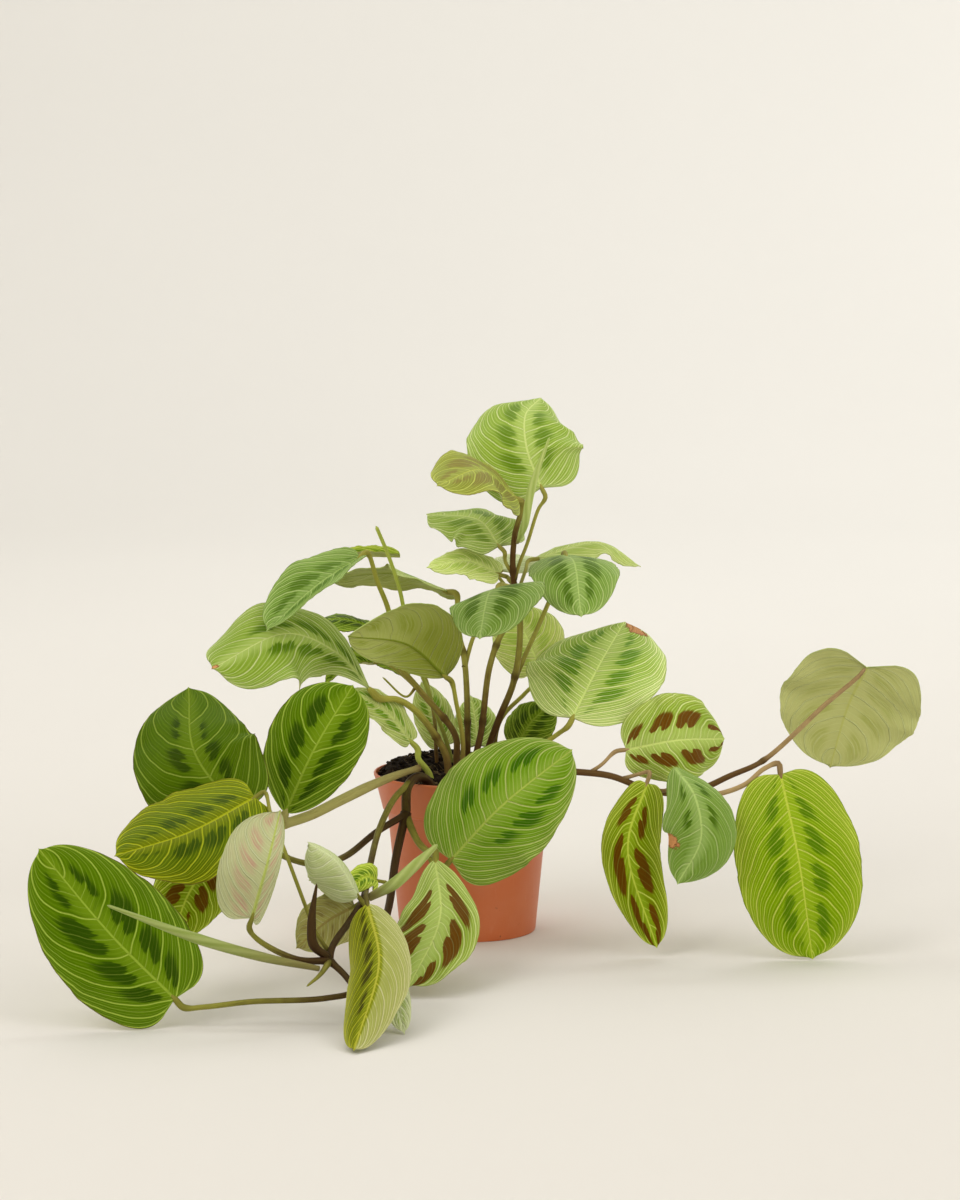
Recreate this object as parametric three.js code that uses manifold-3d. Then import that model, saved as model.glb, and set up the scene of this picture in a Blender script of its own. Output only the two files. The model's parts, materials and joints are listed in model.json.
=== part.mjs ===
// Potted prayer plant (maranta) in a plain nursery pot, with trailing shoots on both sides.
// Millimetres, +Z up. The origin is the centre of the pot's underside, on the surface it stands on.
// The front of the plant looks towards -Y.

import * as THREE from "three";
import { mergeVertices } from "three/addons/utils/BufferGeometryUtils.js";
import Module from "manifold-3d";

const wasm = await Module();
wasm.setup();

// Pot: a 12 cm nursery pot with a flared rim band
const POT_HEIGHT = 102.5;
const POT_TOP_RADIUS = 60;
const BAND_HEIGHT = 23.5;
const BAND_BOTTOM_RADIUS = 54.5;
const WALL_TOP_RADIUS = 51.2;
const BASE_RADIUS = 43.75;
const WALL = 1.4;
const CHANNEL_RISE = 2.5;
const CHANNEL_INNER_RADIUS = 15.5;
const CHANNEL_OUTER_RADIUS = 36;
const FOOT_INNER_RADIUS = 38;
const BASE_DISC_RADIUS = 14;
const DRAIN_HOLES = 6;
const DRAIN_HOLE_RADIUS = 3.2;
const DRAIN_CIRCLE_RADIUS = 26;
const DRILL_LENGTH = 12;
const DRILL_SIDES = 8;
const FOOT_CHAMFER = [0.8, 1];
const STEP_RISE = 1;
const STEP_CHAMFER = 0.6;
const RIM_CHAMFER = [0.2, 0.7];
const ROUND_SIDES = 28;

// Soil: fills the pot and mounds a little above the rim behind the stems
const SOIL_CLEARANCE = 0.4;
const SOIL_CORNER_GAP = 1;
const SOIL_EDGE_DROP = 6;
const SOIL_MOUND = 6.5;
const SOIL_BUMP = 1.1;
const SOIL_BACK_RISE = 0.35;
const SOIL_WAVES = [{ x: 0.31, shiftX: 1.1, y: 0.27, shiftY: 0.4 }, { x: 0.53, y: -0.47, height: 0.6 }];
const SOIL_RING_RADII = [48, 36, 24, 12];
const STEM_HOLE_CLEARANCE = 0.45;
const ROOT_END_HEIGHT = 76;

// Leaves and stems
const BLADE_THICKNESS = 0.9;
const BLADE_SEAT_GAP = 0.7;
const PETIOLE_LEAD = 7;
const LEAF_END_HALF_WIDTH = 0.8;
const LEAF_WIDEST_AT = 0.44;
const LEAF_BASE_ROUNDNESS = 2.3;
const LEAF_TIP_ROUNDNESS = 1.85;
const LEAF_LOBE_REACH = 0.3;
const LEAF_STATIONS = [0, 0.05, 0.17, 0.34, 0.52, 0.7, 0.86, 0.95, 1];
const LEAF_COLUMNS = [-1, -0.5, 0, 0.5, 1];
const STEM_SIDES = 6;
const STEM_STEP = 14;

const LOOKS = {
  bright: { color: 0x6f9a3c, roughness: 0.5 },
  fresh: { color: 0x86a84a, roughness: 0.5 },
  deep: { color: 0x3f6420, roughness: 0.45 },
  bluish: { color: 0x5d8a5c, roughness: 0.5 },
  lime: { color: 0x8da320, roughness: 0.45 },
  blotched: { color: 0x87a043, roughness: 0.5 },
  underside: { color: 0x99a56a, roughness: 0.65 },
  pale: { color: 0xc3cf9b, roughness: 0.6 },
};

const STEM_LOOKS = {
  brown: { color: 0x6f5a3a, roughness: 0.55 },
  olive: { color: 0x8a8a45, roughness: 0.55 },
  green: { color: 0x9aae55, roughness: 0.5 },
  purple: { color: 0x4a332e, roughness: 0.55 },
  straw: { color: 0xa89a6c, roughness: 0.6 },
};

// Each leaf: a midrib through hand-placed points from base to tip, the way its upper face looks at the
// base (face) and at the tip (faceTip), and the half widths left and right of the midrib seen from above.
// fold opens both halves like a book, cup curls them further towards their edges (degrees, + is up).
// wave is the height of the edge waves and waves their count. lobe draws the base corners back.
// widest is where along the leaf it is widest, base and tip how blunt its ends are (2 is elliptical).
const LEAVES = [
  // Crown of the upright shoot
  { name: "leaf_crown_top", look: "bright", half: [39, 39], cup: -30, wave: 2.5, waves: 3,
    rib: [[47, -4, 285], [38, 5, 308], [37, 28, 328], [47, 62, 337]],
    face: [-0.05, -0.8, 0.6], faceTip: [0.1, -0.45, 0.9], tip: 1.6 },
  { name: "leaf_crown_left", look: "lime", half: [27, 29], cup: -18, wave: 2.5, waves: 2,
    rib: [[31, -16, 279], [9, -42, 299], [-17, -68, 292]],
    face: [-0.1, -0.62, 0.78], lobe: 2 },
  { name: "leaf_high_left", look: "bright", half: [23, 30], cup: -38, wave: 2.5, waves: 3,
    rib: [[20, -4, 248], [6, 14, 263], [-25, 36, 264]],
    face: [0, -0.4, 0.92], lobe: 3 },
  { name: "leaf_small_left", look: "fresh", half: [15, 15], cup: -15, wave: 1, waves: 2,
    rib: [[20, 5, 229], [0, 6, 237], [-24, -2, 234]],
    face: [0, -0.5, 0.87], lobe: 5 },
  { name: "leaf_arched_right", look: "fresh", half: [17, 18], cup: -30, wave: 1.5, waves: 2,
    rib: [[46, 34, 236], [84, 51, 244], [111, 55, 229]],
    face: [0, -0.12, 1], lobe: 6 },
  { name: "leaf_behind_crown", look: "pale", half: [17, 17], cup: -15, wave: 1, waves: 2,
    rib: [[22, 36, 228], [34, 60, 233], [50, 84, 230]],
    face: [0, -0.25, 0.97], lobe: 6 },
  { name: "leaf_middle_right", look: "bluish", half: [30, 30], cup: -28, wave: 1.5, waves: 2,
    rib: [[63, 12, 240], [68, -18, 237], [71, -46, 209]],
    face: [0, 0, 1], faceTip: [0, -0.9, 0.4] },
  { name: "leaf_middle_left", look: "bluish", half: [36, 28], cup: -20, wave: 1.5, waves: 2,
    rib: [[19, -32, 224], [13, -52, 221.5], [8, -76, 199]],
    face: [-0.36, -0.1, 0.93], faceTip: [-0.3, -0.8, 0.5], lobe: 8 },

  // Right of the pot's middle, and the leaves half hidden behind the stems
  { name: "leaf_big_right", look: "bright", half: [50, 42], cup: -20, wave: 2, waves: 3,
    rib: [[66, -45, 144], [83, -22, 173], [101, 30, 194]],
    face: [-0.15, -0.62, 0.77], lobe: 9, widest: 0.52 },
  { name: "leaf_behind_right", look: "fresh", half: [24, 24], cup: -15, wave: 1, waves: 2,
    rib: [[46, 40, 165], [38, 48, 184], [27, 66, 200]],
    face: [-0.1, -0.8, 0.55] },
  { name: "leaf_low_right", look: "bright", half: [17, 17], cup: -20, wave: 1, waves: 2,
    rib: [[32, 12, 118], [41, 14, 132], [54, 22, 143]],
    face: [-0.2, -0.8, 0.55], lobe: 6 },
  { name: "leaf_low_back", look: "bright", half: [14, 14], cup: -15, wave: 1, waves: 2,
    rib: [[6, 34, 114], [5, 46, 128], [2, 60, 141]],
    face: [0, -0.8, 0.6], lobe: 6 },
  { name: "leaf_back_left", look: "fresh", half: [13, 13], cup: -15, wave: 1, waves: 2,
    rib: [[-16, 36, 114], [-23, 46, 133], [-30, 60, 150]],
    face: [-0.1, -0.8, 0.6], lobe: 6 },

  // Upper left group
  { name: "leaf_underside", look: "underside", half: [36, 17], cup: -30, wave: 1.2, waves: 2,
    rib: [[-14, -17, 166], [-38, -42, 190], [-72, -82, 200]],
    face: [-0.15, 0.95, 0.3], lobe: 0, widest: 0.54, base: 1.8 },
  { name: "leaf_twisted", look: "deep", half: [20, 20], fold: 25, cup: 10, wave: 1.5, waves: 2,
    rib: [[-68, -20, 242], [-94, -46, 227], [-122, -78, 204]],
    face: [0.2, -0.1, 0.97], faceTip: [-0.5, -0.8, 0.3], lobe: 14, widest: 0.56 },
  { name: "leaf_broad_left", look: "bright", half: [36, 30], cup: -24, wave: 4, waves: 3,
    rib: [[-60, -39, 160], [-83, -52, 187], [-114, -72, 200], [-154, -98, 183]],
    face: [0.1, -0.85, 0.5], faceTip: [-0.3, -0.7, 0.65], lobe: -6, widest: 0.62, tip: 2.5, base: 1.15 },
  { name: "leaf_back_edge", look: "underside", half: [27, 27], cup: -12, wave: 1.5, waves: 3,
    rib: [[-13, 21, 216], [-47, 42, 225], [-90, 38, 222]],
    face: [0, 0.38, 0.92] },
  { name: "leaf_furled", look: "lime", half: [7, 7], fold: 35, cup: 20, wave: 0.5, waves: 1,
    rib: [[-43, 9.1, 240], [-70, 9.6, 240], [-97, 11.6, 238]],
    face: [0, -0.3, 0.95], lobe: 0 },
  { name: "leaf_sliver", look: "deep", half: [13, 13], cup: -20, wave: 1, waves: 2,
    rib: [[-60, 30, 191], [-82, 34, 196], [-105, 34, 193]],
    face: [0, -0.25, 0.97], lobe: 4 },
  { name: "leaf_behind_under", look: "deep", half: [15, 15], cup: -20, wave: 1, waves: 2,
    rib: [[-35, 33, 164], [-54, 39, 175], [-76, 42, 176]],
    face: [0, -0.35, 0.93], lobe: 4 },
  { name: "leaf_curled_small", look: "deep", half: [8, 8], fold: 20, cup: 40, wave: 1, waves: 2,
    rib: [[-61, 10, 171], [-76, 4, 171], [-90, -2, 160]],
    face: [0, -0.6, 0.8], lobe: 2 },
  { name: "leaf_low_left", look: "fresh", half: [10, 11], cup: -20, wave: 1.5, waves: 3,
    rib: [[-35.6, -27, 126], [-52, -33, 147], [-73, -42, 160]],
    face: [0.2, -0.85, 0.45], lobe: 5 },

  // Left trailing shoot
  { name: "leaf_left_upright", look: "deep", half: [39, 38], cup: -18, wave: 1.5, waves: 3,
    rib: [[-136, -176, 109], [-161, -166, 142], [-167, -131, 174]],
    face: [-0.05, -0.85, 0.5] },
  { name: "leaf_left_second", look: "deep", half: [31, 27], cup: -18, wave: 1.5, waves: 2,
    rib: [[-110, -120, 97], [-92, -125, 137], [-70, -108, 172]],
    face: [0.05, -0.95, 0.3], lobe: -4, widest: 0.58, tip: 2.1 },
  { name: "leaf_left_yellow", look: "lime", half: [34, 34], cup: -18, wave: 1.5, waves: 3,
    rib: [[-124, -190, 119], [-160, -215, 103], [-200, -233, 93]],
    face: [-0.1, -0.72, 0.68] },
  { name: "leaf_left_pink", look: "pale", half: [8, 27], fold: -4, cup: -25, wave: 1.5, waves: 2,
    rib: [[-121.5, -256, 61.5], [-112, -263, 95], [-106, -247, 120]],
    face: [0.15, 0.9, 0.35], lobe: 12 },
  { name: "leaf_left_lowest", look: "deep", half: [38, 38], cup: -14, wave: 1.5, waves: 3,
    rib: [[-165, -268, 17], [-202, -264, 54], [-241, -258, 100]],
    face: [0.1, -0.9, 0.35] },
  { name: "leaf_left_hidden", look: "blotched", half: [22, 22], cup: -15, wave: 1, waves: 2,
    rib: [[-148, -180, 84], [-163, -196, 62], [-171, -206, 39]],
    face: [0, -0.95, 0.25] },
  { name: "leaf_rolled_pale", look: "pale", half: [23, 23], fold: -15, cup: -95, wave: 1, waves: 1,
    rib: [[-62.5, -207, 63.5], [-74.5, -221, 86.5], [-89.5, -228, 98.5]],
    face: [-0.2, -0.6, 0.8], lobe: 4 },
  { name: "leaf_translucent", look: "underside", half: [17, 17], cup: -15, wave: 2, waves: 2,
    rib: [[-66, -194, 55], [-82, -200, 47], [-98, -208, 34]],
    face: [0.2, 0.9, 0.3], lobe: 4 },
  { name: "leaf_small_top", look: "lime", half: [9, 9], fold: 15, cup: -20, wave: 1, waves: 1,
    rib: [[-53, -177, 67], [-60, -183, 70], [-69, -189, 63]],
    face: [-0.1, -0.8, 0.6], lobe: 2 },
  { name: "leaf_hanging_brown", look: "blotched", half: [25, 28], cup: -18, wave: 2.5, waves: 3,
    rib: [[-19, -120, 68], [-16, -163, 40], [-33, -194, 8]],
    face: [-0.12, -0.65, 0.75], widest: 0.56, base: 1.5 },
  { name: "leaf_hanging_yellow", look: "lime", half: [21, 24], fold: -22, cup: -30, wave: 1, waves: 2,
    rib: [[-57, -226, 63], [-49, -279, 39], [-61, -328, 3.5]],
    face: [-0.1, -0.75, 0.65], lobe: 6 },
  { name: "leaf_floor_pale", look: "pale", half: [9, 9], cup: -20, wave: 0.5, waves: 1,
    rib: [[-44, -250, 31], [-40, -270, 18], [-35, -283, 2]],
    face: [0.1, -0.8, 0.6], lobe: 2 },

  // Front of the pot
  { name: "leaf_big_front", look: "bright", half: [39, 37], cup: -16, wave: 2, waves: 3,
    rib: [[-10, -100, 64], [22, -109, 100], [63, -97, 131]],
    face: [-0.05, -0.95, 0.25] },

  // Right trailing shoot
  { name: "leaf_right_blotched", look: "blotched", half: [31, 26], cup: -22, wave: 2, waves: 3,
    rib: [[99, -60, 126], [130, -67, 133], [160, -42, 130]],
    face: [0, -0.97, 0.22], widest: 0.5, tip: 2.4 },
  { name: "leaf_right_hanging", look: "blotched", half: [21, 18], fold: -8, cup: -25, wave: 1.5, waves: 3,
    rib: [[111, -79, 108], [99, -94, 68], [117, -87, 8]],
    face: [-0.1, -0.95, 0.3], lobe: 8, widest: 0.5, tip: 2.1 },
  { name: "leaf_right_hood", look: "bluish", half: [26, 26], fold: -8, cup: -40, wave: 1, waves: 2,
    rib: [[128, -86, 119], [139, -110, 105], [142, -119, 80], [129, -117, 54]],
    face: [0, -0.6, 0.8], faceTip: [0.05, -1, 0.1], base: 1.7, widest: 0.55 },
  { name: "leaf_right_large", look: "lime", half: [39, 39], cup: -14, wave: 1.5, waves: 3,
    rib: [[194, -75, 113], [204, -98, 62], [213, -94, 2.5]],
    face: [0, -0.97, 0.2], widest: 0.5, tip: 2.2 },
  { name: "leaf_right_under", look: "underside", half: [45, 45], cup: -14, wave: 2.5, waves: 3,
    rib: [[248, -60, 178], [238, -44, 150], [229, -34, 112]],
    face: [0.05, 0.9, 0.4], lobe: 26 },
];

// Rolled young leaves and leaf sheaths, as tapered rods: a path with a radius at each point
const SPEARS = [
  { name: "spear_crown", look: "fresh",
    path: [[31.7, -10.6, 250.5], [36, -37, 265], [40, -48, 288], [51, -50, 320]],
    radii: [1.1, 2.4, 2.6, 0.6] },
  { name: "spear_left", look: "fresh",
    path: [[-83.8, -258.3, 32.2], [-115, -276, 43], [-150, -288, 56], [-199, -302, 78]],
    radii: [1.6, 2.8, 3.1, 0.8] },
  { name: "sheath_front", look: "fresh",
    path: [[-56.8, -195.4, 60.4], [-42, -202, 70], [-29, -198, 81], [-17, -191, 91]],
    radii: [2.4, 3.6, 3.2, 1.2] },
];

// Each shoot: joined tubes with a path and a radius at its start and end. A path that ends with a
// leaf's name runs on into that leaf's base. A rooted path starts in a hole in the soil.
const SHOOTS = [
  { name: "shoot_crown", look: "brown", tubes: [
    { rooted: true, radii: [2.3, 1.6], path: [[10, 6], [12, 6, 110], [20, 5, 135], [29, 2, 158],
      [33, 0, 181], [33, 0, 208], [29, -3, 229], [30, -9, 255]], leaf: "leaf_crown_left" },
    { radii: [1.2, 1.1], path: [[30, -3, 226], [33, -2, 236], [38, -1, 249], [45, -3, 271]],
      leaf: "leaf_crown_top" },
    { radii: [1.2, 1], path: [[29, -3, 229], [24, -5, 238]], leaf: "leaf_high_left" },
    { radii: [1.2, 1], path: [[30, -2, 222], [26, 3, 226]], leaf: "leaf_small_left" },
    { radii: [1.2, 1], path: [[32, -1, 218], [37, 18, 229]], leaf: "leaf_arched_right" },
    { radii: [1.2, 1], path: [[33, 0, 210], [25, 16, 219]], leaf: "leaf_behind_crown" },
    { radii: [1.6, 1.2], path: [[29, 2, 158], [37, 8, 176], [50, 24, 203], [58, 24, 223]],
      leaf: "leaf_middle_right" },
  ] },
  { name: "shoot_middle", look: "brown", tubes: [
    { rooted: true, radii: [2.2, 1.5], path: [[4, -7], [5, -6, 110], [9, -4, 130], [14, 0, 169],
      [21, 4, 189], [33, 10, 206], [40, -3, 216]], leaf: "leaf_middle_left" },
  ] },
  { name: "shoot_back", look: "brown", tubes: [
    { rooted: true, radii: [2.1, 1.4], path: [[-1, 5], [0, 4, 131], [-2, 10, 173], [-7, 14, 196]],
      leaf: "leaf_back_edge" },
    { radii: [1.5, 1.2], path: [[-2, 9, 168], [4, 18, 187], [9, 28, 192]] },
  ] },
  { name: "shoot_twisted", look: "olive", tubes: [
    { rooted: true, radii: [2.3, 1.2], path: [[-8, -4], [-7, -5, 110], [-8, -7, 127], [-31, -5, 156],
      [-46, 0, 175], [-50, 0, 205], [-57, -7, 225]], leaf: "leaf_twisted" },
    { radii: [0.9, 0.6], path: [[-33, -4, 157], [-39, -4, 151], [-54, -7, 164]] },
  ] },
  { name: "shoot_broad_left", look: "olive", tubes: [
    { rooted: true, radii: [2.5, 1.7], path: [[-14, -13], [-13, -13, 112], [-20, -15, 127],
      [-32, -22, 144], [-44, -30, 153]], leaf: "leaf_broad_left" },
  ] },
  { name: "shoot_rod", look: "green", tubes: [
    { rooted: true, radii: [1.5, 1.2], path: [[-9, 12], [-11, 10, 110], [-23, 6, 147],
      [-37, 9, 186], [-43, 8, 217], [-50, 3, 240], [-58, -1, 260]] },
  ] },
  { name: "shoot_underside", look: "olive", tubes: [
    { rooted: true, radii: [1.7, 1.2], path: [[-3, -15], [-3, -13, 110], [-3, -12, 125],
      [-7, -13, 148]], leaf: "leaf_underside" },
  ] },
  { name: "shoot_thin", look: "brown", tubes: [
    { rooted: true, radii: [1.3, 1.1], path: [[-18, 2], [-20, 5, 112], [-22, 15, 139],
      [-28, 24, 158], [-46, 29, 184]], leaf: "leaf_sliver" },
    { radii: [1, 0.9], path: [[-25, 20, 149], [-26, 26, 156]], leaf: "leaf_behind_under" },
    { radii: [1, 0.8], path: [[-22, 16, 141], [-40, 18, 160]], leaf: "leaf_curled_small" },
  ] },
  { name: "shoot_low_left", look: "green", tubes: [
    { rooted: true, radii: [2.4, 1], path: [[-22, -22], [-24, -24, 104], [-31, -27, 115]],
      leaf: "leaf_low_left" },
  ] },
  { name: "shoot_low_back", look: "olive", tubes: [
    { rooted: true, radii: [1.3, 1], path: [[-6, 26], [-9, 29, 106]], leaf: "leaf_back_left" },
    { radii: [1.1, 1], path: [[-9, 29, 106], [2, 30, 108]], leaf: "leaf_low_back" },
  ] },
  { name: "shoot_behind_right", look: "olive", tubes: [
    { rooted: true, radii: [1.5, 1.1], path: [[18, 12], [20, 11, 131], [37, 24, 149]],
      leaf: "leaf_behind_right" },
    { radii: [1.1, 1], path: [[19, 11, 107], [24, 10, 110]], leaf: "leaf_low_right" },
  ] },
  { name: "shoot_big_right", look: "olive", tubes: [
    { rooted: true, radii: [1.7, 1.3], path: [[15, -12], [20, -16, 104], [43, -34, 122],
      [58, -43, 134]], leaf: "leaf_big_right" },
  ] },
  { name: "sheath_left", look: "straw", tubes: [
    { radii: [1.8, 3.3, 3.1, 1.3], path: [[-30, -51, 113], [-45, -63, 110], [-60, -77, 106], [-78, -95, 100],
      [-98, -112, 93]], leaf: "leaf_left_second" },
  ] },
  { name: "runner_left", look: "purple", tubes: [
    { rooted: true, radii: [3, 3], path: [[-20, -36], [-23, -40, 100], [-30, -49, 107],
      [-37, -62, 103], [-38, -70, 86]] },
    { radii: [2.8, 1.3], path: [[-38, -70, 88], [-44, -85, 62], [-47, -112, 41], [-51, -150, 28],
      [-51, -205, 28], [-46, -235, 36]], leaf: "leaf_floor_pale" },
    { radii: [2.2, 1.4], path: [[-38, -70, 87], [-55, -90, 80], [-74, -125, 71], [-90, -150, 71],
      [-110, -166, 80], [-122, -176, 93]], leaf: "leaf_left_upright" },
    { radii: [1.2, 1], path: [[-106, -163, 78], [-126, -168, 88]], leaf: "leaf_left_hidden" },
    { radii: [2.4, 1.4], path: [[-38, -70, 86], [-30, -84, 72], [-22, -100, 68]],
      leaf: "leaf_hanging_brown" },
    { radii: [1.6, 1.3], path: [[-25, -93, 69], [-20, -97, 60]], leaf: "leaf_big_front" },
    { radii: [2, 2], path: [[-36, -60, 105], [-45, -76, 98], [-53, -100, 85], [-58, -152, 70],
      [-61, -192, 58], [-68, -215, 50], [-77, -240, 40], [-78, -248, 32]] },
    { radii: [1.3, 1], path: [[-60, -185, 60], [-58, -206, 66]], leaf: "leaf_hanging_yellow" },
    { radii: [1.1, 1], path: [[-61, -190, 58], [-60, -198, 57]], leaf: "leaf_rolled_pale" },
    { radii: [1, 0.8], path: [[-60, -183, 60], [-58, -184, 58]], leaf: "leaf_translucent" },
    { radii: [0.9, 0.7], path: [[-59, -166, 66]], leaf: "leaf_small_top" },
    { radii: [2.2, 0.7], path: [[-78, -246, 34], [-96, -256, 37], [-118, -248, 46]],
      leaf: "leaf_left_pink" },
    { radii: [1.2, 1], path: [[-79, -240, 38], [-87, -237, 50], [-92, -233, 62], [-104, -221, 91],
      [-114, -200, 111]], leaf: "leaf_left_yellow" },
    { radii: [1.9, 1.4], path: [[-78, -246, 34], [-68, -254, 26], [-64, -262, 20], [-80, -267, 17],
      [-122, -269, 15.5], [-148, -269, 12.5]], leaf: "leaf_left_lowest" },
    { radii: [1.8, 2.9, 2.6, 0.6], path: [[-79, -246, 36], [-87, -250, 44], [-88, -251, 58], [-85, -251, 80]] },
    { radii: [2, 0.6], path: [[-78, -246, 34], [-83, -260, 29], [-90, -272, 25]] },
  ] },
  { name: "runner_right", look: "brown", tubes: [
    { rooted: true, radii: [2.4, 1.7], path: [[14, -26], [18, -28, 104], [32, -36, 112],
      [46, -45, 114], [61, -55, 112], [89, -63, 110], [115, -66, 101], [139, -60, 99],
      [164, -62, 110], [184, -65, 120], [222, -73, 157], [242, -68, 173],
      [246.9, -61.7, 177.3]] },
    { radii: [1.2, 1], path: [[76, -59, 111], [84, -61, 117]], leaf: "leaf_right_blotched" },
    { radii: [1.3, 0.9], path: [[96, -64, 108], [104, -67, 111]], leaf: "leaf_right_hanging" },
    { radii: [1.3, 1], path: [[117, -66, 101], [124, -73, 103], [127, -81, 111], [128.1, -84.9, 117.9]] },
    { radii: [1.7, 1.3], path: [[136, -61, 99], [152, -69, 99], [172, -72, 106], [184, -72, 116]],
      leaf: "leaf_right_large" },
  ] },
];

function toVector(point) {
  return new THREE.Vector3(...point);
}

function material(look) {
  return new THREE.MeshStandardMaterial({ ...look, metalness: 0 });
}

// Closed meshes in and out of the solid library
function toSolid(geometry) {
  const bare = geometry.clone();
  bare.deleteAttribute("normal");
  bare.deleteAttribute("uv");
  const merged = mergeVertices(bare, 1e-4);
  return new wasm.Manifold(new wasm.Mesh({
    numProp: 3,
    vertProperties: new Float32Array(merged.attributes.position.array),
    triVerts: new Uint32Array(merged.index.array),
  }));
}

function toGeometry(solid) {
  const mesh = solid.getMesh();
  const geometry = new THREE.BufferGeometry();
  geometry.setAttribute("position", new THREE.BufferAttribute(mesh.vertProperties, 3));
  geometry.setIndex(new THREE.BufferAttribute(mesh.triVerts, 1));
  geometry.computeVertexNormals();
  return geometry;
}

function named(name, geometry, look) {
  const mesh = new THREE.Mesh(geometry, material(look));
  mesh.name = name;
  return mesh;
}

// Midrib of a leaf, with the way it runs, its upper face and its right-hand side at u (0 base, 1 tip)
function ribCurve(leaf) {
  return new THREE.CatmullRomCurve3(leaf.rib.map(toVector), false, "catmullrom", 0.5);
}

function ribFrame(leaf, curve, u) {
  const along = curve.getTangent(u);
  const face = toVector(leaf.face).lerp(toVector(leaf.faceTip ?? leaf.face), u);
  const up = face.addScaledVector(along, -face.dot(along)).normalize();
  const right = along.clone().cross(up);
  return { origin: curve.getPoint(u), along, up, right };
}

// Share of the full half width at u
function outline(leaf, u) {
  const bulge = 2 * Math.pow(u, Math.log(0.5) / Math.log(leaf.widest ?? LEAF_WIDEST_AT)) - 1;
  const roundness = bulge < 0 ? leaf.base ?? LEAF_BASE_ROUNDNESS : leaf.tip ?? LEAF_TIP_ROUNDNESS;
  return Math.pow(Math.max(0, 1 - Math.pow(Math.abs(bulge), roundness)), 1 / roundness);
}

// A point of the blade: v runs from -1 at the left edge to 1 at the right edge, lift is along the normal
function bladePoint(leaf, curve, u, v, lift) {
  const { origin, along, up, right } = ribFrame(leaf, curve, u);
  const side = v < 0 ? -1 : 1;
  const fullHalf = leaf.half[v < 0 ? 0 : 1];
  const half = Math.max(fullHalf * outline(leaf, u), LEAF_END_HALF_WIDTH);
  const fold = THREE.MathUtils.degToRad(leaf.fold ?? 0);
  const cup = THREE.MathUtils.degToRad(leaf.cup);
  const share = Math.abs(v);
  const angle = fold + cup * share;
  const out = (half / cup) * (Math.sin(angle) - Math.sin(fold));
  const rise = (half / cup) * (Math.cos(fold) - Math.cos(angle));
  const ripple = leaf.wave * (half / fullHalf) * share * share
    * Math.sin(2 * Math.PI * leaf.waves * u + side);
  const reach = Math.max(0, 1 - u / LEAF_LOBE_REACH);
  const back = (leaf.lobe ?? 12) * (half / fullHalf) * share * share * reach * reach;
  return origin
    .addScaledVector(right, side * (out - lift * Math.sin(angle)))
    .addScaledVector(up, rise + ripple + lift * Math.cos(angle))
    .addScaledVector(along, -back);
}

// The blade as a thin closed shell, split into triangles alike on both faces
function bladeGeometry(leaf) {
  const curve = ribCurve(leaf);
  const positions = [];
  for (const lift of [BLADE_THICKNESS / 2, -BLADE_THICKNESS / 2]) {
    for (const u of LEAF_STATIONS) {
      for (const v of LEAF_COLUMNS) {
        positions.push(...bladePoint(leaf, curve, u, v, lift));
      }
    }
  }
  const columns = LEAF_COLUMNS.length;
  const rows = LEAF_STATIONS.length;
  const under = rows * columns;
  const index = [];
  for (let i = 0; i + 1 < rows; i++) {
    for (let j = 0; j + 1 < columns; j++) {
      const a = i * columns + j;
      const b = a + 1;
      const c = a + columns;
      const d = c + 1;
      index.push(a, b, c, b, d, c);
      index.push(under + a, under + c, under + b, under + b, under + c, under + d);
    }
  }
  const rim = [];
  for (let j = 0; j < columns; j++) rim.push(j);
  for (let i = 1; i < rows; i++) rim.push(i * columns + columns - 1);
  for (let j = columns - 2; j >= 0; j--) rim.push((rows - 1) * columns + j);
  for (let i = rows - 2; i > 0; i--) rim.push(i * columns);
  rim.forEach((p, k) => {
    const q = rim[(k + 1) % rim.length];
    index.push(p, under + p, q, q, under + p, under + q);
  });
  const geometry = new THREE.BufferGeometry();
  geometry.setAttribute("position", new THREE.Float32BufferAttribute(positions, 3));
  geometry.setIndex(index);
  geometry.computeVertexNormals();
  return geometry;
}

// A rod along a smooth path, with a radius for each point of it
function rodGeometry(path, radii, sides = STEM_SIDES) {
  const curve = new THREE.CatmullRomCurve3(path, false, "centripetal");
  const steps = Math.max(3, Math.round(curve.getLength() / STEM_STEP));
  const frames = curve.computeFrenetFrames(steps, false);
  const positions = [];
  const index = [];
  for (let i = 0; i <= steps; i++) {
    const centre = curve.getPointAt(i / steps);
    const place = curve.getUtoTmapping(i / steps) * (radii.length - 1);
    const k = Math.min(Math.floor(place), radii.length - 2);
    const radius = THREE.MathUtils.lerp(radii[k], radii[k + 1], place - k);
    for (let s = 0; s < sides; s++) {
      const angle = (2 * Math.PI * s) / sides;
      const corner = centre.clone()
        .addScaledVector(frames.normals[i], radius * Math.cos(angle))
        .addScaledVector(frames.binormals[i], radius * Math.sin(angle));
      positions.push(...corner);
    }
  }
  for (let i = 0; i < steps; i++) {
    for (let s = 0; s < sides; s++) {
      const a = i * sides + s;
      const b = i * sides + (s + 1) % sides;
      index.push(a, b, a + sides, b, b + sides, a + sides);
    }
  }
  const last = steps * sides;
  for (let s = 1; s + 1 < sides; s++) {
    index.push(0, s + 1, s);
    index.push(last, last + s, last + s + 1);
  }
  const geometry = new THREE.BufferGeometry();
  geometry.setAttribute("position", new THREE.Float32BufferAttribute(positions, 3));
  geometry.setIndex(index);
  geometry.computeVertexNormals();
  return geometry;
}

// The last two points of a leaf's petiole: in line with the midrib, and just short of the blade
function petioleEnd(leafName) {
  const leaf = LEAVES.find((entry) => entry.name === leafName);
  const curve = ribCurve(leaf);
  const base = curve.getPoint(0);
  const along = curve.getTangent(0);
  return [
    base.clone().addScaledVector(along, -PETIOLE_LEAD),
    base.clone().addScaledVector(along, -BLADE_SEAT_GAP),
  ];
}

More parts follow.
